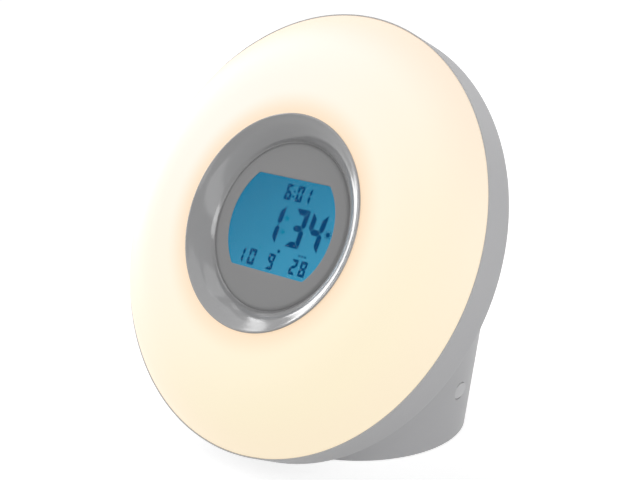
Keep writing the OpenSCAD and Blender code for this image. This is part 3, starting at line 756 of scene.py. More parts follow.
def carve(target: bpy.types.Object, tools: Iterable[bpy.types.Object], operation: str = "DIFFERENCE",
          sharp: float = 32.0) -> None:
    """Cuts or joins closed meshes and keeps the result in the target.

    Args:
        target: The object that changes.
        tools: The objects that cut it or join it, which are removed.
        operation: The Boolean modifier's operation.
        sharp: Edges that bend by more than this many degrees stay crisp.
    """
    tools = list(tools)
    for tool in tools:
        cut = target.modifiers.new("cut", "BOOLEAN")
        cut.operation, cut.solver, cut.object = operation, "EXACT", tool
    graph = bpy.context.evaluated_depsgraph_get()
    made = bpy.data.meshes.new_from_object(target.evaluated_get(graph), depsgraph=graph)
    target.modifiers.clear()
    old, target.data = target.data, made
    bpy.data.meshes.remove(old)
    crisp(made, sharp)
    for tool in tools:
        mesh = tool.data
        bpy.data.objects.remove(tool)
        bpy.data.meshes.remove(mesh)


def rounded(corners: Sequence[tuple[float, float, float]], steps: int = 5) -> list[Point2]:
    """Rounds the corners of a closed outline.

    Args:
        corners: Each corner and its rounding radius, as (x, y, radius).
        steps: Points on each rounding, less one.

    Returns:
        The outline's points.
    """
    made: list[Point2] = []
    count = len(corners)
    for i, (x, y, radius) in enumerate(corners):
        here = np.array([x, y])
        before = np.array(corners[i - 1][:2]) - here
        after = np.array(corners[(i + 1) % count][:2]) - here
        before, after = before / np.linalg.norm(before), after / np.linalg.norm(after)
        half = math.acos(max(-1.0, min(1.0, float(before @ after)))) / 2
        if radius <= 0 or abs(half - math.pi / 2) < 0.02:
            made.append((x, y))
            continue
        bisector = (before + after) / np.linalg.norm(before + after)
        centre = here + bisector * radius / math.sin(half)
        start, end = (here + d * radius / math.tan(half) - centre for d in (before, after))
        a, b = math.atan2(start[1], start[0]), math.atan2(end[1], end[0])
        b = a + (b - a + math.pi) % (2 * math.pi) - math.pi
        for k in range(steps + 1):
            t = a + (b - a) * k / steps
            made.append((float(centre[0] + radius * math.cos(t)), float(centre[1] + radius * math.sin(t))))
    return made


def full_turn(count: int) -> np.ndarray:
    """Returns a number of even angles round a full turn, in radians."""
    return np.arange(count) * 2 * math.pi / count


def arc(centre: Point2, radius: float, start: float, end: float, steps: int) -> list[Point2]:
    """Returns points on an arc.

    Args:
        centre: Its centre.
        radius: Its radius.
        start: Its first angle, in degrees.
        end: Its last angle, in degrees.
        steps: Points, less one.

    Returns:
        The points.
    """
    angles = np.radians(np.linspace(start, end, steps + 1))
    return [(centre[0] + radius * math.cos(t), centre[1] + radius * math.sin(t)) for t in angles]


def circle(radius: float, count: int, x: float = 0.0, y: float = 0.0) -> list[Point2]:
    """Returns a circle's points, anticlockwise."""
    return arc((x, y), radius, 0, 360 * (1 - 1 / count), count - 1)


def box_outline(width: float, height: float, radius: float, x: float = 0.0, y: float = 0.0) -> list[Point2]:
    """Returns a rounded rectangle's points, anticlockwise, about (x, y)."""
    w, h = width / 2, height / 2
    return rounded([(x + dx, y + dy, radius) for dx, dy in ((-w, -h), (w, -h), (w, h), (-w, h))])


def plug(radius: float, low: float, high: float) -> list[Point2]:
    """Returns the profile of a plain cylinder."""
    return [(0, low), (radius, low), (radius, high), (0, high)]


def rays(ray: Sequence[Point2], x: float = 0.0, y: float = 0.0) -> list[list[Point2]]:
    """Repeats one ray round a small sun.

    Args:
        ray: The outline of the ray on the right, about the sun's middle.
        x: Where the sun's middle is, to the right.
        y: Where it is, upwards.

    Returns:
        The outlines of its eight rays.
    """
    made = []
    for i in range(8):
        c, s = math.cos(i * math.pi / 4), math.sin(i * math.pi / 4)
        made.append([(x + dx * c - dy * s, y + dx * s + dy * c) for dx, dy in ray])
    return made


def dress(piece: bpy.types.Object, body: Body, finishes: Finish | Sequence[Finish],
          replaces: Sequence[str] = ()) -> None:
    """Gives a piece its materials, its body and the nodes it stands for.

    Args:
        piece: The piece.
        body: The body that it rides on.
        finishes: One finish, or one for each material slot of its mesh.
        replaces: The nodes that it stands for.
    """
    for finish in [finishes] if isinstance(finishes, Finish) else finishes:
        piece.data.materials.append(finish.make())
    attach(piece, body.value)
    if replaces:
        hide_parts(*replaces)
    log.info("%s: %d faces on %s", piece.name, len(piece.data.polygons), body.value)


# ---------- the housing ----------


@dataclass
class Housing:
    """The one-piece shell: a rim round the ring, a bowl behind it and a foot that grows out of the bowl."""

    wall: float = 2.4
    rim_r: float = 86.2
    rim_inner: float = 83.8
    rim_depth: float = 14.4
    rim_round: float = 1.6
    rebate: float = 2.6
    seat_r: float = 85.7
    bowl_edge: float = 84.6
    bowl_centre: float = -49.60
    bowl_r: float = 106.40
    foot_y: float = FOOT_Y
    foot_r: float = FOOT_R
    foot_low: float = 0.3
    foot_round: float = 0.6
    draft: float = DRAFT
    ball_z: float = 68.9
    soft: float = 12.0
    soft_back: float = 1.7
    soft_from: float = 60.0
    soft_to: float = 95.0
    heart: tuple[float, float, float] = (0.0, FOOT_Y, 30.0)
    key_hole: float = 5.8
    key_hole_low: float = -62.0
    key_hole_top: float = -18.0
    side_hole: float = 3.72
    inlet_hole: float = 4.6
    inlet_y: float = 57.8
    grille_y: float = 62.4
    grille_r: float = 22.0
    grille_span: float = 43.0
    slot_count: int = 9
    slot_r: float = 1.2
    tray_ring: float = 74.0
    tray_z: float = -8.0
    base_ring: float = 38.6
    base_low: float = 2.7
    base_top: float = 22.0
    rib_ring: float = 42.9
    speaker_ring: float = 28.6
    board_ring: float = 60.0
    board_z: float = -18.6
    side_depth: float = 10.0
    side_y: float = 7.0
    seat_in: float = 24.0
    seat_out: float = 26.2
    columns: int = 320
    outer_rows: int = 170
    inner_rows: int = 56

    # Screw posts: radius, radius of the screw hole and its depth.
    big_post: tuple[float, float, float] = (3.2, 1.15, 8.0)
    small_post: tuple[float, float, float] = (2.6, 0.95, 8.0)
    side_post: tuple[float, float, float] = (1.6, 0.4, 3.0)

    @property
    def ball_r(self) -> float:
        """Radius of the foot's ball top."""
        return (self.foot_r + math.tan(self.draft) * self.ball_z) * math.cos(self.draft)

    def distance(self, p: np.ndarray, inset: float = 0.0) -> np.ndarray:
        """Measures how far points are outside the bowl and the foot, blended softly.

        Args:
            p: Points in the row frame.
            inset: How far the surface lies inside the outer one.

        Returns:
            The distances, negative inside.
        """
        x, y, z = p[..., 0], p[..., 1] - FACE_Y, p[..., 2] - FACE_Z
        up = y * math.sin(TILT) + z * math.cos(TILT)
        deep = y * math.cos(TILT) - z * math.sin(TILT)
        bowl = np.sqrt(x * x + up * up + (deep - self.bowl_centre) ** 2) - self.bowl_r + inset
        high = p[..., 2]
        r = np.hypot(x, p[..., 1] - self.foot_y)
        cone = (r - self.foot_r - math.tan(self.draft) * high) * math.cos(self.draft)
        ball = np.hypot(r, high - self.ball_z) - self.ball_r
        foot = np.where(high > self.ball_z - r * math.tan(self.draft), ball, cone) + inset
        t = np.clip((high - self.soft_from) / (self.soft_to - self.soft_from), 0, 1)
        k = self.soft + (self.soft_back - self.soft) * t * t * (3 - 2 * t)
        h = np.clip(0.5 + 0.5 * (foot - bowl) / k, 0, 1)
        return foot + (bowl - foot) * h - k * h * (1 - h)

    def cast(self, start: np.ndarray, way: np.ndarray, inset: float = 0.0,
             reach: float = 220.0) -> np.ndarray:
        """Finds where rays from inside leave the form.

        Args:
            start: The rays' first points.
            way: Their unit directions.
            inset: How far the surface lies inside the outer one.
            reach: How far they go at most.

        Returns:
            The points where they leave it.
        """
        near = np.zeros(way.shape[:-1])
        far = np.full(way.shape[:-1], reach)
        for _ in range(42):
            half = (near + far) / 2
            inside = self.distance(start + way * half[..., None], inset) < 0
            near, far = np.where(inside, half, near), np.where(inside, far, half)
        return start + way * far[..., None]

    def around(self, radius: float, deep: float) -> np.ndarray:
        """Lays a ring of points round the face's axis.

        Args:
            radius: Its radius.
            deep: How far it lies behind the rim plane.

        Returns:
            The points, in the row frame.
        """
        a = full_turn(self.columns)
        x, up = radius * np.cos(a), radius * np.sin(a)
        return np.stack([x, FACE_Y + up * math.sin(TILT) + deep * math.cos(TILT),
                         FACE_Z + up * math.cos(TILT) - deep * math.sin(TILT)], 1)

    def ground_ring(self, radius: float, high: float) -> np.ndarray:
        """Returns a level ring of points round the foot."""
        a = full_turn(self.columns)
        return np.stack([radius * np.cos(a), self.foot_y + radius * np.sin(a), np.full(len(a), high)], 1)

    def sweep(self, first: np.ndarray, last: np.ndarray, count: int, inset: float) -> np.ndarray:
        """Lays rows over the form between two rings.

        Args:
            first: The ring that the rows start from.
            last: The ring that they end at.
            count: Rows, without the two rings.
            inset: How far the surface lies inside the outer one.

        Returns:
            All rows, with the two rings.
        """
        heart = np.array(self.heart)
        a, b = ((ring - heart) / np.linalg.norm(ring - heart, axis=1, keepdims=True)
                for ring in (first, last))
        angle = np.arccos(np.clip((a * b).sum(1), -1, 1))[:, None]
        t = np.linspace(0, 1, count + 2)[1:-1, None, None]
        way = (np.sin((1 - t) * angle) * a + np.sin(t * angle) * b) / np.sin(angle)
        way /= np.linalg.norm(way, axis=2, keepdims=True)
        return np.concatenate([first[None], self.cast(heart, way, inset), last[None]])

    def shell(self) -> bpy.types.Object:
        """Builds the closed shell with its openings cut.

        Returns:
            The shell.
        """
        cos, tan = math.cos(self.draft), math.tan(self.draft)
        centre_z = self.foot_low + self.foot_round
        centre_r = self.foot_r + tan * centre_z - self.foot_round / cos
        foot_edge = arc((centre_r, centre_z), self.foot_round, -math.degrees(self.draft), -90, 8)
        inner_low = self.foot_r + tan * self.foot_low - self.wall / cos
        inner_deep = math.sqrt((self.bowl_r - self.wall) ** 2 - self.rim_inner ** 2) + self.bowl_centre
        bowl_deep = math.sqrt(self.bowl_r ** 2 - self.bowl_edge ** 2) + self.bowl_centre
        outer = self.sweep(self.around(self.bowl_edge, bowl_deep), self.ground_ring(*foot_edge[0]),
                           self.outer_rows, 0.0)
        inner = self.sweep(self.ground_ring(inner_low, self.foot_low),
                           self.around(self.rim_inner, inner_deep), self.inner_rows, self.wall)
        tip = 0.16
        rim = [(self.rim_inner, self.rebate), (self.seat_r, self.rebate), (self.seat_r, tip),
               (self.seat_r + 0.05, 0.04), (self.seat_r + tip, 0.0), (self.rim_r - tip, 0.0),
               (self.rim_r - 0.04, 0.05), (self.rim_r, tip)]
        side = [(self.rim_r, d) for d in (1.5, 4.0, 8.0)]
        middle = (self.rim_r - self.rim_round, self.rim_depth - self.rim_round)
        corner = arc(middle, self.rim_round, 0, 58, 8)
        rows = [outer, *(self.ground_ring(r, z)[None] for r, z in foot_edge[1:]), inner,
                *(self.around(r, d)[None] for r, d in rim + side + corner)]
        form = Shape("housing_shell")
        form.grid(np.concatenate(rows), close_rows=True)
        made = form.build(sharp=38)
        carve(made, self.openings(), sharp=38)
        even = made.modifiers.new("even", "WEIGHTED_NORMAL")
        even.keep_sharp, even.weight = True, 60
        return made

    def openings(self) -> list[bpy.types.Object]:
        """Builds the solids that cut the key holes, the inlet's hole and the grille.

        Returns:
            The solids.
        """
        keys = Shape("cut_keys", FACE)
        hole = plug(self.key_hole, self.key_hole_low, self.key_hole_top)
        for place in RearKeys().places():
            keys.lathe(hole, 72, closed=False, inner=place)
        side = Shape("cut_side", SideKey().frame(0))
        side.lathe(plug(self.side_hole, -5, 6), 72, closed=False)
        inlet = Shape("cut_inlet", shift(0, self.inlet_y, INLET_Z) @ turn(-90, "X"))
        r, mouth = self.inlet_hole, self.inlet_hole + 0.7
        inlet.lathe([(0, -7), (r, -7), (r, 1.0), (mouth, 1.7), (mouth, 7), (0, 7)], 72, closed=False)
        grille = Shape("cut_grille", shift(0, self.grille_y, SPEAKER_Z) @ turn(-90, "X"))
        for z, half in self.slots():
            right, left = arc((half, z), self.slot_r, -90, 90, 10), arc((-half, z), self.slot_r, 90, 270, 10)
            grille.prism(right + left, -11, 8)
        return [form.build() for form in (keys, side, inlet, grille)]

    def slots(self) -> list[Point2]:
        """Spaces the grille's slots evenly inside a circle.

        Returns:
            Each slot's height over the speaker's axis and its half length.
        """
        pitch = self.grille_span / self.slot_count
        heights = [(i - self.slot_count // 2) * pitch for i in range(self.slot_count)]
        return [(z, math.sqrt(self.grille_r ** 2 - z ** 2) - self.slot_r) for z in heights]

    def post(self, form: Shape, frame_at: Matrix, radius: float, hole: float, depth: float,
             columns: int = 28) -> None:
        """Adds a screw post whose far end follows the wall.

        Args:
            form: The shape that it joins.
            frame_at: The post's frame: its top is at zero and it runs along +z.
            radius: Its radius.
            hole: The radius of its screw hole.
            depth: The hole's depth.
            columns: Columns round it.
        """
        m = np.array(frame_at, float)
        way = m[:3, 2] / np.linalg.norm(m[:3, 2])
        a = full_turn(columns)
        ring = np.stack([np.cos(a), np.sin(a), np.zeros(columns)], 1) @ m[:3, :3].T
        top = m[:3, 3] / MM
        end = self.cast(top + ring * radius, np.broadcast_to(way, ring.shape), self.wall / 2, 90.0)
        rows = [np.tile(top + way * depth, (columns, 1)), top + ring * hole + way * depth, top + ring * hole,
                top + ring * (radius - 0.2), top + ring * radius + way * 0.2, end,
                np.tile(end.mean(0), (columns, 1))]
        form.grid(np.stack(rows))

    def posts(self) -> bpy.types.Object:
        """Builds the screw posts, the ribs and the speaker's seat on the inside.

        Returns:
            The posts.
        """
        form = Shape("housing_posts")
        low, top = self.base_low, self.base_top
        radius, hole, depth = self.big_post
        column = [(0, low + depth), (hole, low + depth), (hole, low), (radius - 0.2, low),
                  (radius, low + 0.2), (radius, top - 0.2), (radius - 0.2, top), (0, top)]
        speaker = shift(0, SPEAKER_Y + 0.02, SPEAKER_Z) @ turn(-90, "X")
        for a in (45, 135, 225, 315):
            tray = FACE @ turn(a, "Z") @ shift(self.tray_ring, 0, self.tray_z) @ turn(180, "X")
            self.post(form, tray, *self.big_post)
            base = shift(0, self.foot_y, 0) @ turn(a, "Z")
            form.lathe(column, 36, closed=False, inner=base @ shift(self.base_ring, 0, 0))
            form.prism(box_outline(3.6, 2, 0.2), low + 0.2, top - 0.8, base @ shift(self.rib_ring, 0, 0))
            self.post(form, speaker @ turn(a, "Z") @ shift(self.speaker_ring, 0, 0), *self.small_post)
        for a in (57, 123):
            board = FACE @ turn(a, "Z") @ shift(self.board_ring, 0, self.board_z) @ turn(180, "X")
            self.post(form, board, *self.small_post)
        for y in (-self.side_y, self.side_y):
            self.post(form, SideKey().frame(self.side_depth) @ shift(0, y, 0), *self.side_post, columns=20)
        self.seat(form)
        return form.build(sharp=30)

    def seat(self, form: Shape) -> None:
        """Adds the ring that the speaker sits on, with its far end in the wall.

        Args:
            form: The shape that it joins.
        """
        a = full_turn(96)
        ring = np.stack([np.cos(a), np.zeros(len(a)), -np.sin(a)], 1)
        top = np.array([0.0, SPEAKER_Y, SPEAKER_Z])
        way = np.broadcast_to(np.array([0.0, 1.0, 0.0]), ring.shape)
        inside, outside = ring * self.seat_in, ring * self.seat_out
        rows = [top + inside, top + ring * (self.seat_out - 0.2), top + outside + way * 0.2,
                self.cast(top + outside, way, self.wall / 2, 60.0),
                self.cast(top + inside, way, self.wall / 2, 60.0)]
        form.grid(np.stack(rows), close_rows=True)

    def make(self) -> None:
        """Builds and dresses the shell and its posts."""
        dress(self.shell(), Body.HOUSING, HOUSING, ["rear_housing"])
        dress(self.posts(), Body.HOUSING, HOUSING)


# ---------- the keys ----------


@dataclass
class RearKeys:
    """The five keys in an arc on the upper back, each with a raised mark."""

    ring: float = 60.0
    step: float = 22.0
    radius: float = 5.5
    flange: float = 6.7
    sphere: float = 107.40
    sphere_z: float = 49.60
    flange_z: float = -29.5
    stem_z: float = -24.5
    edge: float = 0.7
    mark_h: float = 0.14
    mark_sunk: float = 0.25
    columns: int = 72
    names: tuple[Body, ...] = (Body.UP_KEY, Body.DOWN_KEY, Body.LIGHT_KEY, Body.MODE_KEY, Body.ALARM_KEY)

    def places(self) -> list[Matrix]:
        """Returns each key's frame on the face frame, in the order of names."""
        return [turn(90 + (i - 2) * self.step, "Z") @ shift(self.ring, 0, 0) for i in range(5)]

    def skin(self, x: np.ndarray, y: np.ndarray, proud: float = 0.0) -> np.ndarray:
        """Returns the height of the key's domed face.

        Args:
            x: Distance from the key's middle, away from the face's axis.
            y: Distance along the arc.
            proud: How far outside the key's face.

        Returns:
            The heights on the face frame.
        """
        return self.sphere_z - np.sqrt((self.sphere + proud) ** 2 - (self.ring + x) ** 2 - y * y)

    def cap(self, body: Body, place: Matrix) -> bpy.types.Object:
        """Builds one key with its rounded edge, flange and stem.

        Args:
            body: The key's body.
            place: Its frame on the face frame.

        Returns:
            The key.
        """
        a = full_turn(self.columns)
        cos, sin = np.cos(a), np.sin(a)
        rows = []
        edge = self.edge
        for r in np.linspace(0, self.radius - edge, 9):
            rows.append(np.stack([r * cos, r * sin, self.skin(r * cos, r * sin)], 1))
        for t in np.linspace(0, math.pi / 2, 7)[1:]:
            r = self.radius - edge + edge * math.sin(t)
            drop = edge * (1 - math.cos(t))
            rows.append(np.stack([r * cos, r * sin, self.skin(r * cos, r * sin) + drop], 1))
        low, wide, stem = self.flange_z, self.flange, self.stem_z
        for r, z in ((self.radius, low), (wide - 0.2, low), (wide, low + 0.2), (wide, low + 1.0),
                     (wide - 0.2, low + 1.2), (2.2, low + 1.2), (2.0, low + 1.4), (2.0, stem - 0.2),
                     (1.8, stem), (0.0, stem)):
            rows.append(np.stack([r * cos, r * sin, np.full(self.columns, z)], 1))
        form = Shape(body.value + "_cap", FACE)
        form.grid(np.stack(rows), inner=place)
        return form.build(sharp=40)

    def marks(self, body: Body) -> list[list[Point2]]:
        """Draws a key's raised mark, with +x away from the face's axis.

        Args:
            body: The key's body.

        Returns:
            The mark's outlines.
        """
        bar = box_outline(0.7, 3.6, 0.3)
        tall = box_outline(3.6, 0.7, 0.3)
        if body is Body.UP_KEY:
            return [bar, tall]
        if body is Body.DOWN_KEY:
            return [bar]
        if body is Body.LIGHT_KEY:
            return [circle(1.0, 28), *rays(box_outline(0.85, 0.4, 0.12, 2.0, 0))]
        if body is Body.MODE_KEY:
            return [box_outline(0.55, 3.2, 0.2, x, 0) for x in (-1.2, 0, 1.2)]
        dome, skirt = arc((0.3, 0.0), 1.35, -90, 90, 14), box_outline(1.3, 2.7, 0.25, -0.25, 0)
        return [dome, skirt, box_outline(0.45, 3.9, 0.18, -1.15, 0), circle(0.45, 16, -1.75, 0)]

    def mark(self, body: Body, place: Matrix) -> bpy.types.Object:
        """Builds a key's raised mark, which follows the domed face.

        Args:
            body: The key's body.
            place: Its frame on the face frame.

        Returns:
            The mark.
        """
        form = Shape(body.value + "_mark", FACE)
        sunk, high = -self.mark_sunk, self.mark_h
        levels = ((0.0, sunk), (1.0, sunk), (1.0, high / 2), (0.93, high), (0.6, high), (0.0, high))
        for outline in self.marks(body):
            p = np.array(finer(outline, 0.35))
            middle = p.mean(0)
            rings = []
            for share, proud in levels:
                q = middle + (p - middle) * share
                rings.append(np.column_stack([q, self.skin(q[:, 0], q[:, 1], proud)]))
            form.grid(np.stack(rings), inner=place)
        return form.build(sharp=50)

    def make(self) -> None:
        """Builds and dresses the keys and their marks."""
        for body, place in zip(self.names, self.places()):
            dress(self.cap(body, place), body, KEYCAP, [body.value])
            dress(self.mark(body, place), body, MARKING)


def finer(outline: Sequence[Point2], longest: float) -> list[Point2]:
    """Splits the sides of a closed outline until none is over a length.

    Args:
        outline: The outline.
        longest: The longest side, in millimetres.

    Returns:
        The outline with more points.
    """
    made: list[Point2] = []
    for (x0, y0), (x1, y1) in zip(outline, [*outline[1:], outline[0]]):
        parts = max(1, math.ceil(math.hypot(x1 - x0, y1 - y0) / longest))
        made += [(x0 + (x1 - x0) * k / parts, y0 + (y1 - y0) * k / parts) for k in range(parts)]
    return made


@dataclass
class SideKey:
    """The small round key low on the right flank."""

    radius: float = 3.55
    proud: float = 0.35
    flange: float = 4.5
    flange_depth: float = 5.2
    stem_depth: float = 6.6
    crown: float = 0.2
    edge: float = 0.25
    back: float = 7.7
    high: float = 21.6
    dip: float = 16.0

    def frame(self, depth: float) -> Matrix:
        """Finds a frame on the key's axis, with z out of the flank.

        Args:
            depth: How far it lies under the flank's surface.

        Returns:
            The frame.
        """
        dip = math.radians(self.dip)
        reach = math.sqrt((FOOT_R + math.tan(DRAFT) * self.high) ** 2 - self.back ** 2)
        x, z = reach - depth * math.cos(dip), self.high + depth * math.sin(dip)
        return shift(x, FOOT_Y + self.back, z) @ turn(90 + self.dip, "Y")

    def make(self) -> None:
        """Builds and dresses the key."""
        edge = self.edge
        big = (self.radius ** 2 + self.crown ** 2) / (2 * self.crown)
        top = [(r, self.proud - big + math.sqrt(big ** 2 - r * r))
               for r in np.linspace(0, self.radius - edge, 9)]
        edge_z = top[-1][1]
        turn_down = [(self.radius - edge + edge * math.sin(t), edge_z - edge * (1 - math.cos(t)))
                     for t in np.linspace(0, math.pi / 2, 7)[1:]]
        low, wide, stem = -self.flange_depth, self.flange, -self.stem_depth
        rest = [(self.radius, low + 1.0), (wide - 0.15, low + 1.0), (wide, low + 0.85), (wide, low + 0.15),
                (wide - 0.15, low), (1.6, low), (1.6, stem + 0.2), (1.4, stem), (0, stem)]
        form = Shape("side_key_cap", self.frame(0))
        form.lathe(top + turn_down + rest, 72, closed=False)
        # Its paler finish is partly a painted highlight on the flank.
        dress(form.build(sharp=45), Body.SIDE_KEY, SIDE_CAP_TONE_AND_SHEEN, ["side_key"])


# ---------- the light ----------


@dataclass
class LightRing:
    """The domed opal ring that glows."""

    outer: float = FACE_R
    crown: float = 58.0
    crown_h: float = 13.98
    arc_out: float = 34.206
    arc_in: float = 151.01
    inner: float = 41.5
    skin: float = 2.0
    skirt: float = 1.7
    skirt_low: float = -2.5

    def height(self, rho: float, inset: float = 0.0) -> float:
        """Returns the ring's height at a radius.

        Args:
            rho: The radius.
            inset: How far inside the outer surface.

        Returns:
            The height on the face frame.
        """
        big = self.arc_out if rho > self.crown else self.arc_in
        return self.crown_h - big + math.sqrt(max((big - inset) ** 2 - (rho - self.crown) ** 2, 0.0))

    def make(self) -> None:
        """Builds and dresses the ring."""
        radii = [self.inner + (self.crown - self.inner) * t for t in np.linspace(0, 1, 16)]
        radii += [self.crown + (self.outer - 0.25 - self.crown) * math.sin(t)
                  for t in np.linspace(0, math.pi / 2, 34)[1:]]
        out = [(r, self.height(r)) for r in radii]
        last = out[-1][1]
        wide, low, back_r = self.outer, self.skirt_low, self.outer - self.skirt
        edge = [(wide - 0.05, last - 0.28), (wide, last - 0.6), (wide, low + 0.15), (wide - 0.15, low),
                (back_r, low)]
        back = [(r, self.height(r, self.skin)) for r in np.linspace(back_r - 0.2, self.inner + 0.2, 26)]
        form = Shape("glow_ring", FACE)
        form.lathe([*out, *edge, (back_r, back[0][1] - 0.3), *back, (self.inner, back[-1][1] + 0.1),
                    (self.inner, out[0][1] - 0.15)], 288)
        dress(form.build(sharp=42), Body.HOUSING, OPAL, ["diffuser"])


# ---------- the display ----------


class Segment(Enum):
    """The seven bars of a numeral."""

    TOP = 0
    UPPER_RIGHT = 1
    LOWER_RIGHT = 2
    BOTTOM = 3
    LOWER_LEFT = 4
    UPPER_LEFT = 5
    MIDDLE = 6


@dataclass(frozen=True)
class Numeral:
    """One numeral of the screen and the box that it stands in."""

    value: int
    left: float
    low: float
    width: float
    height: float
    stroke: float

    LEAN: ClassVar[float] = 0.065
    LIT: ClassVar[tuple[str, ...]] = ("012345", "12", "01346", "01236", "1256", "02356", "023456", "012",
                                      "0123456", "012356")

    def bars(self) -> list[list[Point2]]:
        """Draws the lit bars.

        Returns:
            Their outlines, anticlockwise.
        """
        x0, x1 = self.left, self.left + self.width
        y0, y1 = self.low, self.low + self.height
        t, g = self.stroke, self.stroke * 0.06
        m, h = (y0 + y1) / 2, self.stroke / 2
        made = {
            Segment.TOP: [(x0 + g, y1), (x0 + t + g, y1 - t), (x1 - t - g, y1 - t), (x1 - g, y1)],
            Segment.BOTTOM: [(x0 + g, y0), (x1 - g, y0), (x1 - t - g, y0 + t), (x0 + t + g, y0 + t)],
            Segment.MIDDLE: [(x0 + h + g, m), (x0 + t + g, m - h), (x1 - t - g, m - h), (x1 - h - g, m),
                             (x1 - t - g, m + h), (x0 + t + g, m + h)],
            Segment.UPPER_RIGHT: [(x1, y1 - g), (x1 - t, y1 - t - g), (x1 - t, m + h + g), (x1 - h, m + g),
                                  (x1, m + h + g)],
            Segment.LOWER_RIGHT: [(x1, y0 + g), (x1, m - h - g), (x1 - h, m - g), (x1 - t, m - h - g),
                                  (x1 - t, y0 + t + g)],
            Segment.UPPER_LEFT: [(x0, y1 - g), (x0, m + h + g), (x0 + h, m + g), (x0 + t, m + h + g),
                                 (x0 + t, y1 - t - g)],
            Segment.LOWER_LEFT: [(x0, y0 + g), (x0 + t, y0 + t + g), (x0 + t, m - h - g), (x0 + h, m - g),
                                 (x0, m - h - g)],
        }
        lit = [made[Segment(int(c))] for c in self.LIT[self.value]]
        return [[(x + self.LEAN * (y - y0), y) for x, y in bar] for bar in lit]


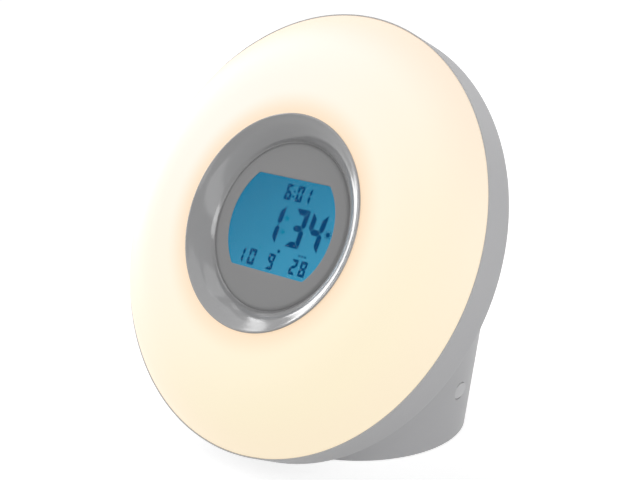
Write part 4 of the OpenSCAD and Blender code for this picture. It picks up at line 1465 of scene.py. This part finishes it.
@dataclass
class Display:
    """The funnel bezel, the sunk panel and the screen in its window."""

    panel_h: float = 7.2
    panel_r: float = 32.7
    window_r: float = 25.8
    window_x: float = 0.4
    window_top: float = 18.4
    window_low: float = 18.1
    screen_h: float = 6.5
    cover_low: float = 6.6
    cover_top: float = 7.05
    glass_r: float = 31.2
    glass_x: float = 27.0
    glass_y: float = 21.0
    glass_thick: float = 2.3
    boss_ring: float = 38.0
    stud_ring: float = 37.4
    flare_start: Point2 = (41.15, 13.60)
    flare_radii: tuple[float, ...] = (40.9, 40.2, 39.4, 38.6, 37.9, 37.2, 36.5, 35.8, 35.2, 34.7, 34.2,
                                      33.8, 33.5)
    flare_slope: float = 24.3
    flare_gain: float = 27.0
    flare_power: float = 0.75
    steeper_from: float = 38.6
    steeper_over: float = 5.1
    columns: int = 288
    sun: tuple[float, float, float] = (23.66, 0.85, 0.95)
    dots: tuple[tuple[float, float, float], ...] = ((1.9, 13.85, 0.42), (1.9, 11.8, 0.42), (3.0, -9.3, 0.7))
    faint_dots: tuple[tuple[float, float, float], ...] = (
        (2.15, 3.3, 1.1), (2.1, -1.8, 1.1), (-6.7, -9.35, 0.65))
    dashes: tuple[float, ...] = (13.4, 14.9, 16.4)
    dash_y: float = -9.1
    numerals: tuple[Numeral, ...] = (
        Numeral(6, -2.6, 10.15, 3.3, 6.2, 1.15), Numeral(0, 3.1, 10.15, 3.2, 6.2, 1.15),
        Numeral(1, 7.2, 10.15, 3.1, 6.2, 1.15),
        Numeral(1, -7.4, -6.9, 7.0, 14.9, 2.3), Numeral(3, 4.6, -6.9, 7.1, 14.9, 2.3),
        Numeral(4, 13.3, -6.9, 7.5, 14.9, 2.3),
        Numeral(1, -16.7, -16.9, 3.1, 6.2, 1.15), Numeral(0, -11.4, -16.9, 3.6, 6.2, 1.15),
        Numeral(9, -1.4, -16.9, 3.4, 6.2, 1.15),
        Numeral(2, 10.3, -16.5, 3.3, 5.9, 1.1), Numeral(8, 15.0, -16.5, 3.3, 5.9, 1.1))

    def window(self, angle: np.ndarray, inset: float = 0.0) -> np.ndarray:
        """Returns the window's radius: a circle cut by two level chords, with its corners eased.

        Args:
            angle: Angles, in radians.
            inset: How far inside the window's edge.

        Returns:
            The radius at each angle.
        """
        sin = np.sin(angle)
        aside = self.window_x * np.cos(angle)
        round_part = aside + np.sqrt((self.window_r - inset) ** 2 - (self.window_x * sin) ** 2)
        half = np.where(sin > 0, self.window_top, self.window_low) - inset
        chord = half / np.maximum(np.abs(sin), 1e-3)
        k = 0.5
        h = np.clip(0.5 + 0.5 * (chord - round_part) / k, 0, 1)
        return chord + (round_part - chord) * h - k * h * (1 - h)

    def ring_row(self, radius: Any, height: float) -> np.ndarray:
        """Lays a row of points round the face's axis.

        Args:
            radius: One radius, or one for each column.
            height: The row's height.

        Returns:
            The points.
        """
        a = full_turn(self.columns)
        r = np.broadcast_to(radius, a.shape)
        return np.stack([r * np.cos(a), r * np.sin(a), np.full(len(a), height)], 1)

    def flare(self) -> list[Point2]:
        """Works out the funnel's face, which falls evenly from the lip and then ever more steeply.

        Returns:
            Its points from the lip inwards, as (radius, height).
        """
        made: list[Point2] = []
        start, height = self.flare_start
        for radius in self.flare_radii:
            fine = np.linspace(start, radius, 21)
            middle = (fine[1:] + fine[:-1]) / 2
            share = np.clip((self.steeper_from - middle) / self.steeper_over, 0, 1)
            slope = np.radians(self.flare_slope + self.flare_gain * share ** self.flare_power)
            height -= float((np.tan(slope) * -np.diff(fine)).sum())
            made.append((radius, round(height, 2)))
            start = radius
        return made

    def bezel(self) -> bpy.types.Object:
        """Builds the glossy funnel with its tube, screw bosses and studs.

        Returns:
            The bezel.
        """
        tube = [(39.2, 5.2), (39.2, -5.85), (39.35, -6.0), (41.05, -6.0), (41.2, -5.85), (41.2, 13.1),
                (41.35, 13.25), (41.9, 13.25)]
        lip = [(42.0, 13.32), (41.97, 13.5), (41.86, 13.66), (41.65, 13.76), (41.45, 13.77), (41.3, 13.72),
               (41.15, 13.66)]
        throat = [(33.36, 7.85), (33.2, 7.59), (33.05, 7.33), (32.88, 6.95), (32.7, 6.75), (32.5, 6.61),
                  (32.48, 6.5), (33.2, 6.3), (33.2, 5.35), (33.35, 5.2)]
        boss = [(0, -1.5), (0.95, -1.5), (0.95, -6), (2.2, -6), (2.4, -5.8), (2.4, -1.2), (2.2, -1), (0, -1)]
        stud = [(0, 5.0), (0.8, 5.0), (0.8, 1.3), (1.5, 1.3), (1.6, 1.4), (1.6, 5.6), (0, 5.6)]
        form = Shape("funnel_bezel", FACE)
        form.lathe(tube + lip + self.flare() + throat, self.columns)
        for a in (30, 150, 270):
            form.lathe(boss, 32, closed=False, inner=turn(a, "Z") @ shift(self.boss_ring, 0, 0))
        for a in (90, 210, 330):
            form.lathe(stud, 28, closed=False, inner=turn(a, "Z") @ shift(self.stud_ring, 0, 0))
        return form.build(sharp=34)

    def panel(self) -> bpy.types.Object:
        """Builds the flat panel with its window and its hidden flange.

        Returns:
            The panel. The wall of its window is its second material slot, which glows with the screen's blue
            as painted light over its shade.
        """
        top, r = self.panel_h, self.panel_r
        edge = self.window(full_turn(self.columns))
        wall = [self.ring_row(edge, top - 1.0), self.ring_row(edge, top - 0.12)]
        rows = [wall[1], self.ring_row(edge + 0.05, top - 0.04), self.ring_row(edge + 0.16, top)]
        full = edge + 0.16
        for t in (0.12, 0.3, 0.5, 0.7, 0.88):
            rows.append(self.ring_row(full + (r - 1.9 - full) * t, top))
        for rr, h in ((r - 1.9, top), (r - 1.5, top - 0.03), (r - 1.1, top - 0.11), (r - 0.75, top - 0.25),
                      (r - 0.4, top - 0.46), (r - 0.1, top - 0.72), (r + 0.12, top - 0.96),
                      (r + 0.27, top - 1.25), (r + 0.32, top - 1.5), (r + 0.32, 5.2), (r + 0.4, 5.0),
                      (r + 2.9, 5.0), (r + 3, 4.9), (r + 3, 3.5), (r + 2.9, 3.4), (31.5, 3.4), (31.4, 3.5),
                      (31.4, top - 1.0)):
            rows.append(self.ring_row(rr, h))
        form = Shape("face_panel", FACE)
        form.grid(np.stack([*rows, wall[0]]))
        # The window's wall takes the screen's glowing finish: painted light where the wall would lie in
        # shade.
        form.slot = 1
        form.grid(np.stack(wall))
        return form.build(sharp=40)

    def lens(self) -> bpy.types.Object:
        """Builds the clear cover in the window.

        Returns:
            The cover.
        """
        edge = self.window(full_turn(self.columns), 0.1)
        low, top = self.cover_low, self.cover_top
        rows = [self.ring_row(0, low), self.ring_row(edge - 0.1, low), self.ring_row(edge, low + 0.08),
                self.ring_row(edge, top - 0.1), self.ring_row(edge - 0.1, top), self.ring_row(0, top)]
        form = Shape("window_cover", FACE)
        form.grid(np.stack(rows))
        return form.build(sharp=30)

    def glass(self) -> bpy.types.Object:
        """Builds the liquid-crystal glass with its corners cut by a circle.

        Returns:
            The glass.
        """
        a = full_turn(self.columns)
        across = self.glass_x / np.maximum(np.abs(np.cos(a)), 1e-3)
        along = self.glass_y / np.maximum(np.abs(np.sin(a)), 1e-3)
        r = np.minimum(self.glass_r, np.minimum(across, along))
        top, low = self.screen_h, self.screen_h - self.glass_thick
        levels = ((0.0, low), (1.0, low), (1.0, low + 1.1), (0.992, low + 1.15), (1.0, low + 1.2),
                  (1.0, top - 0.1), (0.996, top), (0.0, top))
        form = Shape("screen_glass", FACE)
        form.grid(np.stack([self.ring_row(r * share, h) for share, h in levels]))
        return form.build(sharp=30)

    def digits(self) -> bpy.types.Object:
        """Builds everything that the screen shows: numerals, dots, a sun, dashes and the faint colon.

        Returns:
            The digits. The faint dots are their second material slot.
        """
        outlines = [bar for numeral in self.numerals for bar in numeral.bars()]
        outlines += [circle(r, 24, x, y) for x, y, r in (*self.dots, self.sun)]
        outlines += rays(box_outline(0.6, 0.4, 0.05, 1.55, 0), *self.sun[:2])
        outlines += [box_outline(0.75, 0.85, 0.1, x, self.dash_y) for x in self.dashes]
        form = Shape("screen_digits", FACE)
        low, top = self.screen_h - 0.02, self.screen_h + 0.05
        for outline in outlines:
            form.prism(outline, low, top)
        form.slot = 1
        for x, y, r in self.faint_dots:
            form.prism(circle(r, 32, x, y), low, top)
        return form.build(sharp=30)

    def make(self) -> None:
        """Builds and dresses the display."""
        dress(self.bezel(), Body.HOUSING, BEZEL, ["bezel_ring"])
        # The panel's window wall wears the glowing screen finish, painted light over its shade.
        dress(self.panel(), Body.HOUSING, [PANEL, SCREEN], ["display_panel"])
        dress(self.lens(), Body.HOUSING, CRYSTAL_CLEAR, ["display_lens"])
        dress(self.glass(), Body.HOUSING, SCREEN, ["lcd_glass"])
        dress(self.digits(), Body.HOUSING, [DIGIT, FAINT])


# ---------- the back and the underside ----------


@dataclass
class Speaker:
    """The paper cone behind the grille."""

    at: tuple[float, float, float] = (0.0, SPEAKER_Y, SPEAKER_Z)

    def make(self) -> None:
        """Builds and dresses the cone with its rolled edge and dust cap."""
        roll = arc((19.4, -1.4), 0.6, 180, 0, 10)
        front = [(0, -4.6)] + arc((0, -12.8), 8.2, 88, 48, 7)
        front += [(6.2, -6.3), (9, -5.2), (12.5, -3.9), (16, -2.55), (18.2, -1.75), (18.6, -1.4)]
        back = [(21.4, -0.9), (21.4, -1.35), (20.4, -1.5), (18.4, -1.9), (16, -3.0), (12.5, -4.35),
                (9, -5.65), (6.9, -6.6), (6.8, -7.8), (0, -7.8)]
        form = Shape("speaker_cone_paper", shift(*self.at) @ turn(-90, "X"))
        form.lathe(front + roll + [(20.2, -1.3), (21.2, -0.85)] + back, 96, closed=False)
        dress(form.build(sharp=35), Body.HOUSING, PAPER, ["speaker_cone"])


@dataclass
class Inlet:
    """The power inlet low on the back: a collar with a socket and its pin."""

    y: float = 58.94
    z: float = INLET_Z
    collar: float = 4.4
    bore: float = 3.1
    mouth: float = 4.0
    deep: float = 10.5

    def make(self) -> None:
        """Builds and dresses the socket and the pin."""
        at = shift(0, self.y, self.z) @ turn(-90, "X")
        body = Shape("inlet_body", at)
        body.prism(box_outline(9, 11, 0.4), -16.6, -3.6, edge=0.25)
        made = body.build()
        collar = Shape("inlet_collar", at)
        r = self.collar
        collar.lathe([(0, -8), (r, -8), (r, -0.35), (r - 0.1, -0.1), (r - 0.35, 0), (0, 0)], 72,
                     closed=False)
        carve(made, [collar.build()], "UNION")
        bore = Shape("inlet_bore", at)
        r, narrow = self.bore, self.bore - 0.25
        bore.lathe([(0, -self.deep), (narrow, -self.deep), (narrow, -self.mouth), (r, -self.mouth),
                    (r, -0.3), (r + 0.3, 0.02), (r + 0.3, 1), (0, 1)], 72, closed=False)
        carve(made, [bore.build()])
        dress(made, Body.HOUSING, BLACK, ["dc_jack"])
        pin = Shape("inlet_pin", at)
        top, root = -self.mouth - 0.3, -self.deep - 0.7
        pin.lathe([(0, top), (0.5, top - 0.05), (0.85, top - 0.3), (1.0, top - 0.7), (1.05, top - 1.2),
                   (1.05, root), (0, root)], 40, closed=False)
        dress(pin.build(), Body.HOUSING, STEEL)


@dataclass
class Underside:
    """The rubber feet and the ridges on the battery door."""

    foot_y: float = FOOT_Y
    ring: float = 36.6
    pad_r: float = 4.4
    ridge_count: int = 6
    ridge_w: float = 14.0
    ridge_y: float = 10.4

    def make(self) -> None:
        """Builds and dresses the feet and the ridges."""
        form = Shape("foot_pads", shift(0, self.foot_y, 0))
        r = self.pad_r
        profile = [(0, 0.12), (0.8, 0.12), (0.95, 0.0), (1.7, 0.0), (1.85, 0.12), (2.3, 0.12), (2.45, 0.0),
                   (3.2, 0.0), (3.35, 0.12), (3.55, 0.12), (3.7, 0.0), (r - 0.3, 0.0), (r - 0.08, 0.08),
                   (r, 0.25), (r, 1.2), (r - 0.1, 1.3), (0, 1.3)]
        for a in (0, 90, 180, 270):
            form.lathe(profile, 56, closed=False, inner=turn(a, "Z") @ shift(self.ring, 0, 0))
        dress(form.build(sharp=35), Body.HOUSING, RUBBER, ["rubber_feet"])
        ridges = Shape("door_ridges", shift(0, self.foot_y, 0))
        over = turn(180, "X") @ turn(180, "Z")
        for i in range(self.ridge_count):
            ridge = box_outline(self.ridge_w - i * 1.2, 0.6, 0.28, 0, self.ridge_y - i * 1.5)
            ridges.prism(ridge, -0.45, -0.05, over, edge=0.12)
        dress(ridges.build(), Body.BATTERY_DOOR, BASE)


@dataclass(frozen=True)
class Kept:
    """The nodes that keep their own shape and get a finish."""

    finishes: tuple[tuple[Finish, tuple[str, ...]], ...] = (
        (BASE, ("base_plate", "battery_door")),
        (WHITE, ("reflector_tray", "backlight_plate", "lcd_frame", "wire_headers")),
        (BLACK, ("speaker_frame", "key_switches", "side_switch")),
        (CHIP, ("display_chips", "board_chips")),
        (BOARD, ("led_board", "display_board", "main_board", "key_board", "side_board")),
        (LAMP, ("led_chips",)),
        (STEEL, ("battery_contacts", "speaker_clamp", "tray_screws", "base_screws", "bezel_screws",
                 "board_screws", "key_board_screws", "speaker_screws")),
        (MAGNET, ("speaker_magnet",)),
        (ELASTOMER, ("contact_strips",)),
        (CELL, ("battery_cells",)),
        (CAN, ("board_capacitors",)),
        (WIRE, ("led_leads", "key_leads", "speaker_leads", "battery_leads", "power_leads",
                "side_key_leads")),
        (RIBBON, ("display_ribbon",)),
    )

    def make(self) -> None:
        """Dresses the nodes."""
        for finish, names in self.finishes:
            material = finish.make()
            for name in names:
                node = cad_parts[name]
                node.data.materials.clear()
                node.data.materials.append(material)
                log.info("%s keeps its shape and gets %s", name, finish.name)


# ---------- the studio ----------


@dataclass(frozen=True)
class Softbox:
    """A rectangular lamp that looks at the clock."""

    name: str
    at: tuple[float, float, float]
    width: float
    height: float
    watts: float
    aim: tuple[float, float, float] = (0.0, 0.0, 0.085)

    def make(self) -> None:
        """Adds the lamp."""
        lamp = bpy.data.lights.new(self.name, "AREA")
        lamp.shape, lamp.size, lamp.size_y = "RECTANGLE", self.width, self.height
        lamp.energy = self.watts
        made = bpy.data.objects.new(self.name, lamp)
        bpy.context.scene.collection.objects.link(made)
        made.location = self.at
        made.rotation_mode = "QUATERNION"
        made.rotation_quaternion = (Vector(self.aim) - Vector(self.at)).to_track_quat("-Z", "Y")


@dataclass
class Studio:
    """The camera, the lamps, the floor and the pale surroundings."""

    lens: float = 73.29
    at: tuple[float, float, float] = (0.3290, -0.3680, 0.21705)
    heading: float = 42.5456
    dip: float = 15.6744
    ambient: float = 0.18
    lamps: tuple[Softbox, ...] = (
        Softbox("front_left_high", (-0.625, -0.625, 0.969), 1.3, 1.3, 4.8),
        Softbox("front_left_low", (-0.865, -0.865, 0.345), 0.7, 0.7, 1.3),
        Softbox("front_right_low", (0.865, -0.865, 0.345), 2.2, 0.62, 5.4),
        Softbox("right_low", (1.15, -0.10, 0.52), 0.7, 0.7, 5.2),
        Softbox("rear_right_low", (0.865, 0.865, 0.345), 0.7, 0.7, 0.5),
        Softbox("rear_low", (0.0, 1.223, 0.345), 0.7, 0.7, 0.6),
        Softbox("rear_left_high", (-0.625, 0.625, 0.969), 0.7, 0.7, 1.5),
        Softbox("overhead", (0.0, -0.04, 1.335), 0.7, 0.7, 1.6),
        Softbox("left_strip", (-1.234, 0.013, 0.281), 0.53, 0.58, 5.4),
        Softbox("left_high_strip", (-0.996, 0.040, 0.837), 0.66, 0.20, 1.7),
    )

    def camera(self) -> None:
        """Adds the camera, which comes first."""
        data = bpy.data.cameras.new("camera")
        data.lens, data.sensor_width, data.sensor_fit = self.lens, 36.0, "HORIZONTAL"
        data.clip_start, data.clip_end = 0.01, 30.0
        made = bpy.data.objects.new("camera", data)
        bpy.context.scene.collection.objects.link(made)
        made.matrix_world = Matrix.Translation(self.at) @ turn(self.heading, "Z") @ turn(90 - self.dip, "X")
        bpy.context.scene.camera = made

    @staticmethod
    def seen(tree: Tree) -> Link:
        """Tells rays that show the surroundings from those that only light.

        Args:
            tree: The tree that needs it.

        Returns:
            1 for rays from the camera, off gloss or through glass, else 0.
        """
        path = tree.node("ShaderNodeLightPath")
        straight, gloss, through = (Link(tree, path.outputs[f"Is {kind} Ray"])
                                    for kind in ("Camera", "Glossy", "Transmission"))
        return (straight + gloss + through).ramp(0.0, 1.0)

    def world(self) -> None:
        """Makes the surroundings white to look at and soft grey as a light."""
        world = bpy.data.worlds.new("surroundings")
        bpy.context.scene.world = world
        tree = Tree(world)
        level = self.seen(tree) * (1.0 - self.ambient) + self.ambient
        back = tree.out("ShaderNodeBackground", {}, {0: (1.0, 1.0, 1.0, 1.0), 1: level})
        tree.node("ShaderNodeOutputWorld", {}, {0: back})

    def floor(self) -> None:
        """Lays a pale floor that keeps the clock's shadow."""
        form = Shape("floor")
        form.lathe([(0, 0), (150, 0), (400, 0), (900, 0), (2000, 0), (4500, 0)], 96, closed=False)
        made = form.build()
        material = bpy.data.materials.new("floor_white")
        tree = Tree(material)
        cloud = tree.noise(3.0, 2.0)
        lit = tree.out("ShaderNodeBsdfDiffuse", {}, {0: tree.mix(cloud, (0.52,) * 3, (0.56,) * 3)})
        away = tree.out("ShaderNodeVectorMath", {"operation": "LENGTH"}, {0: tree.place()}, "Value")
        pale = tree.mix(away.ramp(0.25, 1.2), (0.74,) * 3, (0.92,) * 3)
        glow = tree.out("ShaderNodeEmission", {}, {0: pale, 1: self.seen(tree)})
        tree.surface(tree.out("ShaderNodeAddShader", {}, {0: lit, 1: glow}))
        made.data.materials.append(material)

    def make(self) -> None:
        """Adds the lamps, the world and the floor."""
        for lamp in self.lamps:
            lamp.make()
        self.world()
        self.floor()
        bpy.context.scene.view_settings.view_transform = "Standard"


def main() -> None:
    """Builds the clock piece by piece."""
    logging.basicConfig(level=logging.INFO, format="%(message)s")
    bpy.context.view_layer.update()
    studio = Studio()
    studio.camera()
    parts = (Housing(), LightRing(), Display(), RearKeys(), SideKey(), Speaker(), Inlet(), Underside(),
             Kept(), studio)
    for part in parts:
        part.make()
    bpy.context.view_layer.update()


if __name__ == "__main__":
    main()
